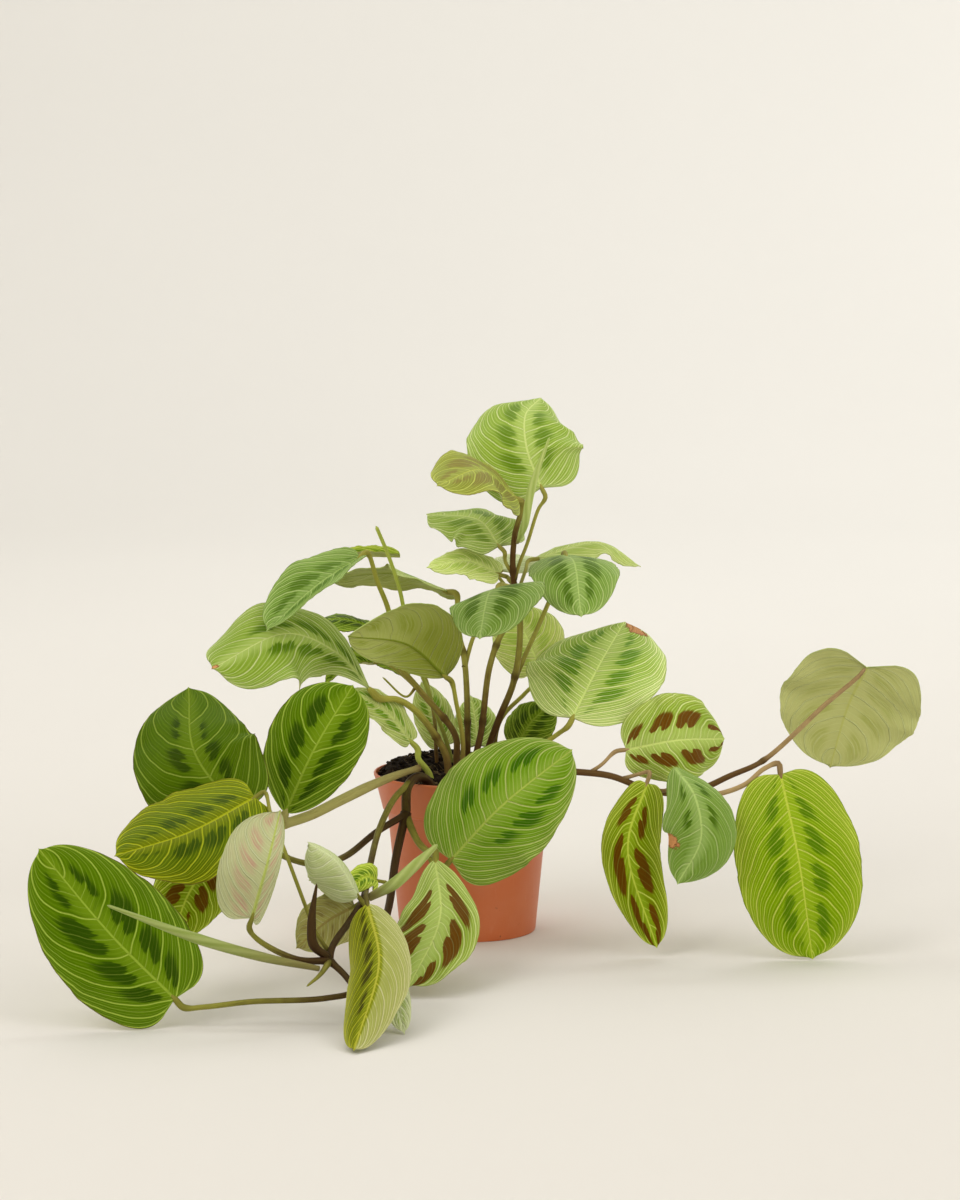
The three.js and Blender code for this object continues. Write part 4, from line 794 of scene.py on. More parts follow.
class Shader:
    """A material whose nodes are made from Python expressions."""

    def __init__(self, name):
        self.material = bpy.data.materials.new(name)
        self.material.use_nodes = True
        self.tree = self.material.node_tree
        self.tree.nodes.clear()

    def node(self, kind, settings=None, sockets=None, out=0):
        """A node with its settings, and with a value or a link in each of the given sockets."""
        made = self.tree.nodes.new(kind)
        for key, value in (settings or {}).items():
            setattr(made, key, value)
        for key, value in (sockets or {}).items():
            if isinstance(value, Value):
                self.tree.links.new(value.socket, made.inputs[key])
            elif made.inputs[key].type == "RGBA":
                made.inputs[key].default_value = (*value, 1)
            else:
                made.inputs[key].default_value = value
        return Value(self, made.outputs[out]) if made.outputs else None

    def uv(self, *layers):
        """The two coordinates of each UV layer, one after the other."""
        parts = [self.node("ShaderNodeSeparateXYZ", {}, {0: self.node("ShaderNodeUVMap", {"uv_map": layer})})
                 for layer in layers]
        return [part.output(index) for part in parts for index in (0, 1)]

    def point(self, x, y, z=0.0):
        return self.node("ShaderNodeCombineXYZ", {}, {0: x, 1: y, 2: z})

    def around(self, along, wheel):
        """A point on a circle, moved along it, so that a pattern closes around a stem."""
        return self.point(along, wheel.math("COSINE"), wheel.math("SINE"))

    def place(self):
        return self.node("ShaderNodeTexCoord", {}, {}, 3)

    def noise(self, vector, scale, detail=2.0, roughness=0.5):
        return self.node(
            "ShaderNodeTexNoise", {"noise_dimensions": "3D"},
            {"Vector": vector, "Scale": scale, "Detail": detail, "Roughness": roughness})

    def chance(self, value):
        """A random number for each value."""
        return self.node("ShaderNodeTexWhiteNoise", {"noise_dimensions": "1D"}, {"W": value})

    def mix(self, share, first, second):
        return self.node("ShaderNodeMix", {"data_type": "RGBA"}, {0: share, 6: first, 7: second}, 2)

    def mix_in(self, colour, *layers):
        """A colour with more colours mixed over it, each given with its share."""
        for share, other in layers:
            colour = self.mix(share, colour, other)
        return colour

    def bump(self, height, distance, strength=1.0):
        return self.node(
            "ShaderNodeBump", {}, {"Height": height, "Distance": distance, "Strength": strength})

    def finish(self, colour, roughness, specular, normal=None, tint=None):
        """The material, once its last nodes are in place."""
        sockets = {"Base Color": colour, "Roughness": roughness, "Specular IOR Level": specular,
                   "Normal": normal, "Specular Tint": tint}
        given = {name: value for name, value in sockets.items() if value is not None}
        surface = self.node("ShaderNodeBsdfPrincipled", {}, given)
        self.node("ShaderNodeOutputMaterial", {}, {0: surface})
        return self.material


def colours_of(group, prefix, parts):
    return {part: tuple(getattr(group, f"{prefix}_{part}")) for part in parts}


def made_piece(name, mesh, slot, *nodes):
    """An object for a finished mesh, riding on the plant's one body in place of its solid."""
    piece = bpy.data.objects.new(name, mesh)
    bpy.context.scene.collection.objects.link(piece)
    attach(piece, "root")
    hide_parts(*nodes)


def made_mesh(name, points, faces, layers, materials, slots=None, sharp_pairs=()):
    """A smooth-shaded mesh in metres. layers holds UV coordinates for each corner of each face."""
    mesh = bpy.data.meshes.new(name)
    mesh.from_pydata([tuple(p) for p in points], [], faces)
    for layer, values in layers.items():
        uv = mesh.uv_layers.new(name=layer)
        uv.data.foreach_set("uv", np.asarray(values, np.float32).ravel())
    for material in materials:
        mesh.materials.append(material)
    if slots is not None:
        mesh.polygons.foreach_set("material_index", np.asarray(slots, np.int32))
    mesh.polygons.foreach_set("use_smooth", np.ones(len(mesh.polygons), bool))
    pairs = {frozenset(pair) for pair in sharp_pairs}
    if pairs:
        for edge in mesh.edges:
            if frozenset(edge.vertices) in pairs:
                edge.use_edge_sharp = True
    mesh.update()
    mesh.validate()
    return mesh


def vein_spacing(flow, points):
    """Millimetres from one main side vein to the next, at each point of a grid over the blade."""
    flow_i, flow_j = np.gradient(flow)
    step_i, step_j = np.gradient(points, axis=(0, 1))
    ii, jj, ij = (step_i ** 2).sum(-1), (step_j ** 2).sum(-1), (step_i * step_j).sum(-1)
    area = np.maximum(ii * jj - ij ** 2, 1e-9)
    steepness = (jj * flow_i ** 2 - 2 * ij * flow_i * flow_j + ii * flow_j ** 2) / area
    return np.clip(1 / np.sqrt(np.maximum(steepness, 1e-6)), 1, 30).ravel()


def leaf_mesh(leaf, sizes, materials):
    """A closed thin blade with quilting between its veins and a ridge under its midrib."""
    small = min(1.0, 0.45 + leaf.length / LEAF_LENGTH_SCALE)
    rows = max(FEWEST_ROWS, round(sizes.rows * small))
    half_columns = max(FEWEST_COLUMNS, round(sizes.columns * small))
    step = np.linspace(0, 1, rows)
    stations = 0.55 * step + 0.45 * (0.5 - 0.5 * np.cos(np.pi * step))
    spread = np.linspace(0, 1, half_columns + 1)[1:]
    spread = 0.5 * spread + 0.5 * np.sin(spread * np.pi / 2)
    spread = np.concatenate([[0.022], spread])
    across = np.concatenate([-spread[::-1], [0], spread])
    columns = len(across)
    middle = columns // 2
    u = np.repeat(stations, columns)
    v = np.tile(across, rows)
    share = np.abs(v)

    flows = [leaf.flow(u, share, right) for right in (0, 1)]
    own_flow = np.where(v < 0, *flows)
    taper = np.clip(share / 0.12, 0, 1) * np.clip((1 - share) / 0.15, 0, 1) * np.clip((1 - u) / 0.08, 0, 1)
    broad, narrow = (np.abs(np.sin(np.pi * count * own_flow)) ** 0.6 for count in (1, 2))
    quilt = sizes.quilting / MM * taper * (0.65 * broad + 0.35 * narrow)
    half_thickness = sizes.thickness / MM / 2
    drip_tip = sizes.drip_tip / MM
    _, off = leaf.surface(u, v, np.zeros_like(u), drip_tip)
    rib = bell(off, 1.5 - 0.7 * u) * np.clip(1.05 - u, 0, 1) ** 0.7
    top, off = leaf.surface(u, v, half_thickness + quilt - sizes.groove / MM * rib, drip_tip)
    bottom, _ = leaf.surface(u, v, quilt - half_thickness - sizes.ridge / MM * rib, drip_tip)

    under = rows * columns
    i, j = np.meshgrid(np.arange(rows - 1), np.arange(columns - 1), indexing="ij")
    a = (i * columns + j).ravel()
    b, c, d = a + 1, a + columns, a + columns + 1
    is_right = (j.ravel() >= middle).astype(int)
    top_faces = np.stack([a, b, d, c], 1)
    bottom_faces = np.stack([a, c, d, b], 1) + under
    loop = np.concatenate([np.arange(columns),
                           np.arange(1, rows) * columns + columns - 1,
                           (rows - 1) * columns + np.arange(columns - 2, -1, -1),
                           np.arange(rows - 2, 0, -1) * columns])
    following = np.roll(loop, -1)
    rim_faces = np.stack([loop, loop + under, following + under, following], 1)
    rim_right = (v[loop] + v[following] > 0).astype(int)
    faces = np.vstack([top_faces, bottom_faces, rim_faces])
    on_right = np.concatenate([is_right, is_right, rim_right])[:, None] == 1

    grid = faces % under
    flow = np.where(on_right, flows[1][grid], flows[0][grid])
    shape = (rows, columns)
    left_pitch, right_pitch = (
        vein_spacing(leaf.flow(u, v * sign, right).reshape(shape), top.reshape(*shape, 3))
        for right, sign in ((0, -1), (1, 1)))
    pitch = np.where(on_right, right_pitch[grid], left_pitch[grid])
    layers = {
        "veins": np.stack([flow, v[grid]], -1),
        "blade": np.stack([u[grid], pitch], -1),
        "plan": np.stack([u[grid] * leaf.length * MM, off[grid] * MM], -1),
    }
    slots = np.zeros(len(faces))
    slots[len(top_faces):len(top_faces) + len(bottom_faces)] = 1
    sharp = list(zip(loop.tolist(), following.tolist()))
    sharp += [(p + under, q + under) for p, q in sharp]
    return made_mesh("blade", np.vstack([top, bottom]) * MM, faces.tolist(), layers, materials, slots, sharp)


def vein_lines(flow, pitch):
    """Masks of the side veins: the main ones, then those halfway, at the quarters and at the eighths."""
    masks = []
    for count, half_width in ((1, 0.5), (2, 0.38), (4, 0.28), (8, 0.22)):
        gap = pitch * (1 / count)
        away = (flow * count).to_whole() * gap
        masks.append(away.rise(half_width * 1.35, half_width * 0.45) * gap.rise(0.5, 1.1))
    return masks


def top_material(leaf, colours, scorch, burnt):
    """The patterned upper face: pale heart and veins, dark blotches and streaks that follow the veins."""
    s = Shader(leaf.name.replace("leaf_", "face_"))
    flow, signed, u, pitch, along, off = s.uv("veins", "blade", "plan")
    across = abs(signed)
    side = signed.math("GREATER_THAN", 0.0) * 57.0 + (hash_of(leaf.name) % 91)
    main, second, third, fine = vein_lines(flow, pitch)

    plan = s.point(along, off, side)
    streaks = s.noise(s.point(flow * 9, across * 1.7, side), 1.0, 3.0, 0.6)
    patches = s.noise(plan, 45.0, 2.0, 0.5)
    jag = (s.noise(s.point(flow * 19, side, across * 0.7), 1.0, 2.0, 0.75) - 0.5) * leaf.ragged

    # One blotch between each two main side veins, smaller towards the ends of the leaf
    cell = flow.math("FLOOR")
    drift = s.chance(cell + side + 3.0) - 0.5
    centre = abs(flow - cell - 0.5 - 0.14 * drift)
    order = (cell + (0.5 - leaf.first)) * (1 / leaf.veins)
    low, high = leaf.reach
    size = order.rise(low - 0.14, low + 0.10) * order.rise(high + 0.10, high - 0.16)
    size = size * (0.78 + 0.22 * s.chance(cell + side + 7.0))
    start, end = leaf.blotch
    inner = start + 0.10 * centre.rise(0.12, 0.0) + 0.10 * centre.rise(0.2, 0.44) + 0.26 * jag
    inner = inner + (1 - size) * 0.06
    outer = start + (end - start) * size - 0.12 * centre.rise(0.16, 0.44) + 0.36 * jag
    blotch = (across - inner).rise(-0.01 * leaf.soft, 0.035 * leaf.soft)
    blotch = blotch * (outer - across).rise(-0.06 * leaf.soft, 0.08 * leaf.soft)
    blotch = blotch * centre.rise(leaf.spread, leaf.spread - 0.06 * leaf.soft) * size.rise(0.10, 0.34)

    heart = (across + 0.12 * jag - 0.08 * main - 0.05 * second).rise(leaf.heart, 0.04) * leaf.glow
    deeper = (streaks - 0.5) * 1.7 + (patches - 0.5) * 0.7
    furrow = (flow * 8 + 0.5).to_whole().rise(0.25, 0.0) * (1 - heart)
    colour = s.mix_in(
        colours["ground"],
        (heart, colours["heart"]),
        (across.rise(0.55, 0.98) * 0.7, colours["margin"]),
        (deeper.rise(0.02, 0.6) * leaf.streaks, colours["blotch"]),
        ((0 - deeper).rise(0.02, 0.6) * 0.34, colours["heart"]),
        (furrow * 0.22, colours["blotch"]),
        (blotch * leaf.ink, colours["blotch"]))
    line = colours["vein"]
    if leaf.faded:
        pale_half = (0 - signed).rise(0.06, 0.16)
        colour = s.mix(pale_half * leaf.faded, colour, colours["margin"])
        line = s.mix(pale_half, line, colours["rim"])
    dimmer = 1 - leaf.solid * blotch
    rib_half = (0.75 - 0.42 * u) * MM
    rib = abs(off).rise(rib_half * 1.6, rib_half * 0.5)
    colour = s.mix_in(
        colour,
        (fine * dimmer * (0.22 * leaf.fine), line),
        (third * dimmer * (0.42 * leaf.fine), line),
        (second * dimmer * (0.66 * leaf.vein * min(1.0, leaf.fine)), line),
        (main * leaf.vein, line),
        (rib * 0.9, colours["midrib"]),
        (across.rise(0.975, 0.993) * 0.7, colours["rim"]))

    for spot_u, spot_v, spot_size in leaf.scorched:
        crisp = s.noise(plan, 330.0, 4.0, 0.65) - 0.5
        away = ((u - spot_u) * 1.6) ** 2 + ((signed - spot_v) * 0.3) ** 2
        ragged = away ** 0.5 + ((patches - 0.5) * 0.6 + crisp * 1.5) * spot_size
        colour = s.mix_in(
            colour,
            (ragged.rise(spot_size * 1.02, spot_size * 0.9), burnt),
            (ragged.rise(spot_size * 0.92, spot_size * 0.7) * (0.9 + crisp), scorch))

    height = main * -0.7 + second * -0.4 + third * -0.25 + fine * -0.12 + streaks * 0.25 - rib * 0.4
    grain = s.noise(s.point(along, off), 2600.0, 2.0, 0.6)
    roughness = 0.5 + (patches - 0.5) * 0.12 + main * 0.05
    return s.finish(colour, roughness, 0.24, s.bump(height + grain * 0.1, 0.45 * MM, 0.85), SHEEN)


def back_material(name, colours, painted_tip_sheen):
    """The matt underside, with faint veins and, where asked, a painted sheen that lightens it towards its
    tip.
    """
    s = Shader("underside_" + name)
    flow, signed, u, pitch, along, off = s.uv("veins", "blade", "plan")
    across = abs(signed)
    main, second, third, fine = vein_lines(flow, pitch)
    streaks = s.noise(s.point(flow * 9, across * 2, 3.0), 1.0, 3.0, 0.55)
    patches = s.noise(s.point(along, off, 1.0), 55.0, 3.0, 0.5)
    band = across.rise(0.12, 0.3) * across.rise(0.8, 0.5) * (flow + 0.5).to_whole().rise(0.42, 0.16)
    rib_half = (1.1 - 0.7 * u) * MM
    rib = abs(off).rise(rib_half * 1.4, rib_half * 0.6)
    colour = s.mix_in(
        colours["ground"],
        # Painted sheen: the underside turns towards the vein colour near its tip
        ((u + (streaks - 0.5) * 0.5).rise(0.2, 0.85) * painted_tip_sheen, colours["vein"]),
        (streaks.rise(0.34, 0.6) * band * 0.85, colours["flush"]),
        ((patches - 0.5).rise(0.02, 0.3) * 0.3, colours["flush"]),
        (fine * 0.1, colours["vein"]),
        (third * 0.16, colours["vein"]),
        (second * 0.24, colours["vein"]),
        (main * 0.42, colours["vein"]),
        (rib * 0.85, colours["midrib"]))
    height = main * 0.8 + second * 0.4 + fine * 0.15 + streaks * 0.2
    grain = s.noise(s.point(along, off), 2400.0, 2.0, 0.6)
    roughness = 0.62 + (patches - 0.5) * 0.1
    return s.finish(colour, roughness, 0.2, s.bump(height + grain * 0.12, 0.48 * MM, 0.9), SHEEN)


def hash_of(name):
    return sum(ord(letter) * (index + 3) for index, letter in enumerate(name))


class MARANTA_OT_leaves(bpy.types.Operator):
    """Build the forty leaf blades"""

    bl_idname = "maranta.leaves"
    bl_label = "Leaves"

    def execute(self, context):
        sizes = context.scene.maranta_leaf_sizes
        colours = context.scene.maranta_leaf_colours
        backs = {}
        for kind in BACKS:
            shades = colours_of(colours, f"back_{kind}", BACK_PARTS)
            backs[kind] = back_material(kind, shades, PAINTED_TIP_SHEENS.get(kind, 0.0))
        for leaf in LEAVES:
            shades = {part: tuple(min(1, channel * leaf.shade) for channel in colour)
                      for part, colour in colours_of(colours, f"top_{leaf.top}", TOP_PARTS).items()}
            face = top_material(leaf, shades, colours.scorch, colours.burnt)
            mesh = leaf_mesh(leaf, sizes, [face, backs[leaf.back]])
            made_piece(leaf.name.replace("leaf_", "blade_"), mesh, f"leaf_{leaf.look}", leaf.name)
        return {"FINISHED"}


def swept_tube(path, radii, sides, step, swell=None):
    """Rings of points along a smooth path in millimetres, with their faces and UV coordinates."""
    spots = np.linspace(0, 1, 400)
    centres, _ = smooth_curve(path, spots, centripetal=True)
    lengths = np.concatenate([[0], np.cumsum(np.linalg.norm(np.diff(centres, axis=0), axis=1))])
    total = lengths[-1]
    rings = max(6, int(total / step))
    at = np.linspace(0, total, rings + 1)
    spot = np.interp(at, lengths, spots)
    centres, tangents = smooth_curve(path, spot, centripetal=True)
    radius = np.interp(spot, np.linspace(0, 1, len(radii)), radii)
    if swell:
        radius = radius * swell(at, total)
    radius = radius * np.minimum(1, np.sqrt(np.clip((total - at) / radius[-1] * 0.9 + 0.08, 0, 1)))
    normal = unit(np.cross(tangents[0], [0.3, 0.2, 0.9]))
    turns = np.linspace(0, FULL_TURN, sides, endpoint=False)
    points = []
    for centre, tangent, size in zip(centres, tangents, radius):
        normal = unit(normal - tangent * normal.dot(tangent))
        side = np.cross(tangent, normal)
        for turn in turns:
            points.append(centre + size * (normal * math.cos(turn) + side * math.sin(turn)))
    faces = []
    corners = []
    for i in range(rings):
        low, high = i * sides, (i + 1) * sides
        near, far = at[i] * MM, at[i + 1] * MM
        for k in range(sides):
            following = (k + 1) % sides
            faces.append((low + k, low + following, high + following, high + k))
            corners += [(near, k / sides), (near, (k + 1) / sides), (far, (k + 1) / sides), (far, k / sides)]
    faces.append(tuple(range(sides - 1, -1, -1)))
    corners += [(0, k / sides) for k in range(sides - 1, -1, -1)]
    faces.append(tuple(rings * sides + k for k in range(sides)))
    corners += [(total * MM, k / sides) for k in range(sides)]
    return np.array(points), faces, corners, total


def moved(faces, count):
    """Faces that point to corners further on in a list."""
    return [tuple(index + count for index in face) for face in faces]


def stem_material(name, colours):
    """A stem: darker and browner where it is old and at its joints, with fine ribs along it."""
    s = Shader("stem_" + name)
    along, turn, age, joint = s.uv("stem", "age")
    wheel = turn * FULL_TURN
    streaks = s.noise(s.around(along * 30, wheel), 2.4, 4.0, 0.6)
    blots = s.noise(s.place(), 130.0, 3.0, 0.55)
    colour = s.mix_in(
        colours["young"],
        ((age + (blots - 0.5) * 0.3 + (streaks - 0.5) * 0.3).rise(0.22, 0.8), colours["old"]),
        ((streaks - 0.5).rise(0.06, 0.22) * 0.35, colours["joint"]),
        (joint * 0.75, colours["joint"]))
    height = (wheel * 9 + streaks * 2).math("COSINE") * 0.25 + streaks * 0.8 + blots * 0.3
    return s.finish(colour, 0.48 + streaks * 0.16, 0.3, s.bump(height, 0.25 * MM, 0.7), SHEEN)


def shoot_mesh(name, tubes, looks, material):
    """The joined tubes of a shoot, with their age and their joints in a second UV layer."""
    points, faces, stem, age = [], [], [], []
    for tube in tubes:
        ring, sides, corners, total = swept_tube(
            tube.points(), tube.radii, looks.sides, looks.step / MM, tube.swell)
        faces += moved(sides, len(points))
        points += list(ring)
        stem += corners
        age += [tube.looks(near / MM, total) for near, _ in corners]
    return made_mesh(name, np.array(points) * MM, faces, {"stem": stem, "age": age}, [material])


class MARANTA_OT_stems(bpy.types.Operator):
    """Build the shoots and runners with their petioles"""

    bl_idname = "maranta.stems"
    bl_label = "Stems"

    def execute(self, context):
        looks = context.scene.maranta_stem_looks
        materials = {kind: stem_material(kind, colours_of(looks, kind, STEM_PARTS)) for kind in STEMS}
        for name, slot, bark, tubes in SHOOTS:
            mesh = shoot_mesh(name, tubes, looks, materials[bark])
            made_piece("stalk_" + name, mesh, f"stem_{slot}", name)
        return {"FINISHED"}


def rolled_material(name, pale, deep, ripe, brown_length):
    """A young leaf rolled up lengthwise: spiral seam, stripes along it and a browner base."""
    s = Shader(name)
    along, turn = s.uv("stem")
    wheel = turn * FULL_TURN + along * 60
    streaks = s.noise(s.around(along * 25, wheel), 2.5, 3.0, 0.6)
    lines = (wheel * 4).math("COSINE") * 0.5 + 0.5
    colour = s.mix_in(
        deep,
        (lines * 0.5 + streaks * 0.5, pale),
        ((along + (streaks - 0.5) * 0.02).rise(brown_length, 0.0) * 0.85, ripe))
    return s.finish(colour, 0.46 + streaks * 0.1, 0.3, s.bump(lines * 0.5 + streaks, 0.25 * MM, 0.6), SHEEN)


class MARANTA_OT_rolled(bpy.types.Operator):
    """Build the rolled young leaves and the leaf sheath"""

    bl_idname = "maranta.rolled"
    bl_label = "Rolled young leaves"

    def execute(self, context):
        looks = context.scene.maranta_stem_looks
        for name, shade, brown, path, radii in SPEARS:
            tones = [tuple(channel * shade for channel in tone)
                     for tone in (looks.rolled_pale, looks.rolled_deep, looks.straw_old)]
            material = rolled_material("rolled_leaf_" + name, *tones, brown * MM)
            points, faces, corners, _ = swept_tube(path, radii, looks.sides, looks.step / MM)
            mesh = made_mesh(name, points * MM, faces, {"stem": corners}, [material])
            made_piece("rolled_" + name, mesh, "leaf_fresh", name)
        return {"FINISHED"}


def circle(radius, height, steps):
    """Points on a level circle around the middle of the pot."""
    turns = [FULL_TURN * k / steps for k in range(steps)]
    return [(radius * math.cos(turn), radius * math.sin(turn), height) for turn in turns]


def lathe_mesh(name, profile, segments, materials=(), close=True):
    """A turned shell from an outline of radius and height in metres that closes on itself."""
    rings = len(profile)
    circles = [circle(radius, height, segments) for radius, height in profile]
    points = [ring[k] for k in range(segments) for ring in circles]
    faces = []
    corners = []
    for k in range(segments):
        following = (k + 1) % segments
        for i in range(rings - (0 if close else 1)):
            nxt = (i + 1) % rings
            faces.append((k * rings + i, following * rings + i, following * rings + nxt, k * rings + nxt))
            corners += [(k / segments, i / rings), ((k + 1) / segments, i / rings),
                        ((k + 1) / segments, (i + 1) / rings), (k / segments, (i + 1) / rings)]
    return made_mesh(name, points, faces, {"turned": corners}, materials)


def between(start, end, steps):
    """Evenly spaced points after the start, up to the end."""
    return [tuple(a + (b - a) * k / steps for a, b in zip(start, end)) for k in range(1, steps + 1)]


def pot_profile(looks):
    """Outline of the pot's shell: under the base, up the outside, over the rim and down the inside."""
    height, wall, foot, rim = looks.height, looks.wall, looks.base_radius, looks.top_radius
    seam = height - looks.band_height
    wall_top = foot + WALL_FLARE
    band = rim - BAND_FLARE
    band_start = (band, seam + 1 * MM)
    return [
        *((radius * MM, rise * MM) for radius, rise in UNDERSIDE),
        (foot - 0.8 * MM, 0.0), (foot - 0.25 * MM, 0.25 * MM), (foot, 1 * MM),
        *between((foot, 1 * MM), (wall_top, seam - 1.4 * MM), 14),
        (wall_top + 0.25 * MM, seam - 0.9 * MM), (wall_top + 1.2 * MM, seam - 0.35 * MM),
        (band - 0.7 * MM, seam - 0.1 * MM), (band - 0.15 * MM, seam + 0.25 * MM), band_start,
        *between(band_start, (rim - 0.35 * MM, height - 2.2 * MM), 6),
        (rim, height - 1.7 * MM), (rim, height - 0.7 * MM), (rim - 0.3 * MM, height - 0.15 * MM),
        (rim - 0.75 * MM, height), (rim - wall + 0.1 * MM, height - 0.1 * MM),
        (rim - wall, height - 0.5 * MM), (band - wall, seam + 1 * MM), (wall_top - wall, seam - 1 * MM),
        (foot - wall, wall),
        *((radius * MM, rise * MM + wall) for radius, rise in FLOOR),
    ]


def pot_material(looks):
    """Satin moulded plastic with faint scuffs, a worn rim and soil dust."""
    s = Shader("terracotta_plastic")
    place = s.place()
    level = s.node("ShaderNodeSeparateXYZ", {}, {0: place}).output(2)
    upright = s.node("ShaderNodeVectorMath", {"operation": "MULTIPLY"}, {0: place, 1: (1.0, 1.0, 0.12)})
    clouds = s.noise(place, 22.0, 4.0, 0.55)
    specks = s.noise(place, 900.0, 2.0, 0.6)
    scuffs = s.noise(upright, 420.0, 3.0, 0.6)
    dirt = s.noise(place, 160.0, 5.0, 0.65)
    rim_wear = level.rise(looks.height - 1.4 * MM, looks.height - 0.4 * MM)
    low = level.rise(0.022, 0.0)
    high = level.rise(looks.height - 16 * MM, looks.height)
    dust = dirt.rise(0.66, 0.74) * (0.25 + 0.5 * low + 0.4 * high)
    colour = s.mix_in(
        looks.plastic,
        ((clouds - 0.5).rise(-0.1, 0.25) * 0.45, looks.worn),
        (scuffs.rise(0.60, 0.75) * 0.28, looks.worn),
        (rim_wear * clouds.rise(0.35, 0.6) * 0.4, looks.worn),
        (dust, looks.dirt))
    roughness = 0.40 + (clouds - 0.5) * 0.12 + dust * 0.3 + specks * 0.05
    height = specks * 0.35 + scuffs * 0.4 + clouds * 1.2
    return s.finish(colour, roughness, 0.45, s.bump(height, 0.12 * MM, 0.5))


def cut_holes(mesh, tools):
    """The mesh with closed tool meshes cut out of it."""
    body = bpy.data.objects.new("cutting", mesh)
    bpy.context.scene.collection.objects.link(body)
    cutters = bpy.data.collections.new("cutters")
    for tool in tools:
        cutters.objects.link(bpy.data.objects.new("cutter", tool))
    cut = body.modifiers.new("holes", "BOOLEAN")
    cut.operation = "DIFFERENCE"
    cut.operand_type = "COLLECTION"
    cut.collection = cutters
    cut.solver = "EXACT"
    bpy.context.scene.collection.children.link(cutters)
    bpy.context.view_layer.update()
    result = bpy.data.meshes.new_from_object(body.evaluated_get(bpy.context.evaluated_depsgraph_get()))
    for cutter in list(cutters.objects):
        bpy.data.objects.remove(cutter)
    bpy.data.collections.remove(cutters)
    bpy.data.objects.remove(body)
    if not len(result.polygons):
        raise RuntimeError("cutting the drain holes left nothing of the pot")
    return result


class MARANTA_OT_pot(bpy.types.Operator):
    """Build the nursery pot"""

    bl_idname = "maranta.pot"
    bl_label = "Pot"

    def execute(self, context):
        looks = context.scene.maranta_pot_looks
        shell = lathe_mesh("pot", pot_profile(looks), POT_SIDES, [pot_material(looks)])
        tools = []
        for k in range(DRAIN_HOLES):
            turn = FULL_TURN * (k + 0.5) / DRAIN_HOLES
            hole = lathe_mesh("drain", DRAIN_CUT, DRAIN_SIDES)
            place = (DRAIN_CIRCLE * math.cos(turn), DRAIN_CIRCLE * math.sin(turn), 0)
            hole.transform(Matrix.Translation(place))
            tools.append(hole)
        mesh = cut_holes(shell, tools)
        mesh.set_sharp_from_angle(angle=SHARP_ANGLE)
        made_piece("nursery_pot", mesh, "pot", "pot")
        return {"FINISHED"}


def soil_height(looks, x, y):
    """Height of the soil's top in metres: a low mound, heaped behind the stems, with bumps and clods."""
    coarse = noise.fractal(Vector((x * 160, y * 160, 0.3)), 0.9, 2.1, 4)
    fine = noise.fractal(Vector((x * 620, y * 620, 4.7)), 0.8, 2.0, 3)
    clods = (1.15 * coarse + 0.5 * fine) * MM
    x, y = x / MM, y / MM
    radius = math.hypot(x, y) / POT_RADIUS
    mound = looks.mound / MM * (1 - radius * radius) * (1 + 0.35 * (y - x) / POT_RADIUS)
    bumps = math.sin(0.31 * x + 1.1) * math.sin(0.27 * y + 0.4) + 0.6 * math.sin(0.53 * x - 0.47 * y)
    heap = max(0, 0.8 * y - 0.5 * x) / POT_RADIUS * radius * max(0, 1 - radius ** 9)
    return POT_TOP - looks.edge_drop + (mound + looks.heap / MM * heap + 1.1 * bumps) * MM + clods


def soil_material(looks):
    """Dark crumbly peat with lighter dry bits."""
    s = Shader("peat")
    place = s.place()
    lumps = s.noise(place, 260.0, 6.0, 0.7)
    grains = s.noise(place, 1400.0, 3.0, 0.65)
    dry = s.noise(place, 90.0, 4.0, 0.6)
    colour = s.mix_in(
        looks.peat,
        ((lumps + (dry - 0.5) * 0.6).rise(0.46, 0.72), looks.dry_peat),
        (grains.rise(0.66, 0.74) * 0.6, looks.fibre))
    roughness = 0.92 + (grains - 0.5) * 0.1
    return s.finish(colour, roughness, 0.2, s.bump(lumps * 1.5 + grains * 0.7, 0.9 * MM, 0.9))


def fibre_material(looks):
    s = Shader("peat_fibre")
    tone = s.noise(s.place(), 300.0, 2.0, 0.5)
    colour = s.mix(tone.rise(0.35, 0.65), looks.dry_peat, looks.fibre)
    return s.finish(colour, 0.85 + (tone - 0.5) * 0.1, 0.5)


def soil_body(looks):
    """The displaced top and the plain sides of the soil, as points and faces."""
    points = [(0.0, 0.0, soil_height(looks, 0, 0))]
    for i in range(1, SOIL_RINGS + 1):
        ring = circle(SOIL_RADIUS * MM * (i / SOIL_RINGS) ** 0.9, 0, SOIL_SPOKES)
        points += [(x, y, soil_height(looks, x, y)) for x, y, _ in ring]
    for radius, height in SOIL_SIDES:
        points += circle(radius * MM, height * MM, SOIL_SPOKES)
    spokes = [(k, (k + 1) % SOIL_SPOKES) for k in range(SOIL_SPOKES)]
    faces = [(0, 1 + k, 1 + following) for k, following in spokes]
    for i in range(SOIL_RINGS - 1 + len(SOIL_SIDES)):
        upper = 1 + i * SOIL_SPOKES
        lower = upper + SOIL_SPOKES
        faces += [(upper + k, lower + k, lower + following, upper + following) for k, following in spokes]
    faces.append(tuple(range(len(points) - 1, len(points) - 1 - SOIL_SPOKES, -1)))
    return points, faces


def crumb(draws, x, y, z, size):
    """One irregular crumb: a squashed ball with uneven corners."""
    ball = bmesh.new()
    bmesh.ops.create_icosphere(ball, subdivisions=2, radius=size)
    tilt = draws.uniform(0, math.pi)
    shift = Vector((draws.uniform(0, 90), draws.uniform(0, 90), draws.uniform(0, 90)))
    points = []
    for vertex in ball.verts:
        bump = 1 + 0.45 * noise.noise(vertex.co / size * 1.4 + shift)
        p = Vector((vertex.co.x * bump * 1.15, vertex.co.y * bump, vertex.co.z * bump * 0.75))
        points.append((x + p.x * math.cos(tilt) - p.y * math.sin(tilt),
                       y + p.x * math.sin(tilt) + p.y * math.cos(tilt), z + p.z))
    faces = [tuple(v.index for v in face.verts) for face in ball.faces]
    ball.free()
    return points, faces


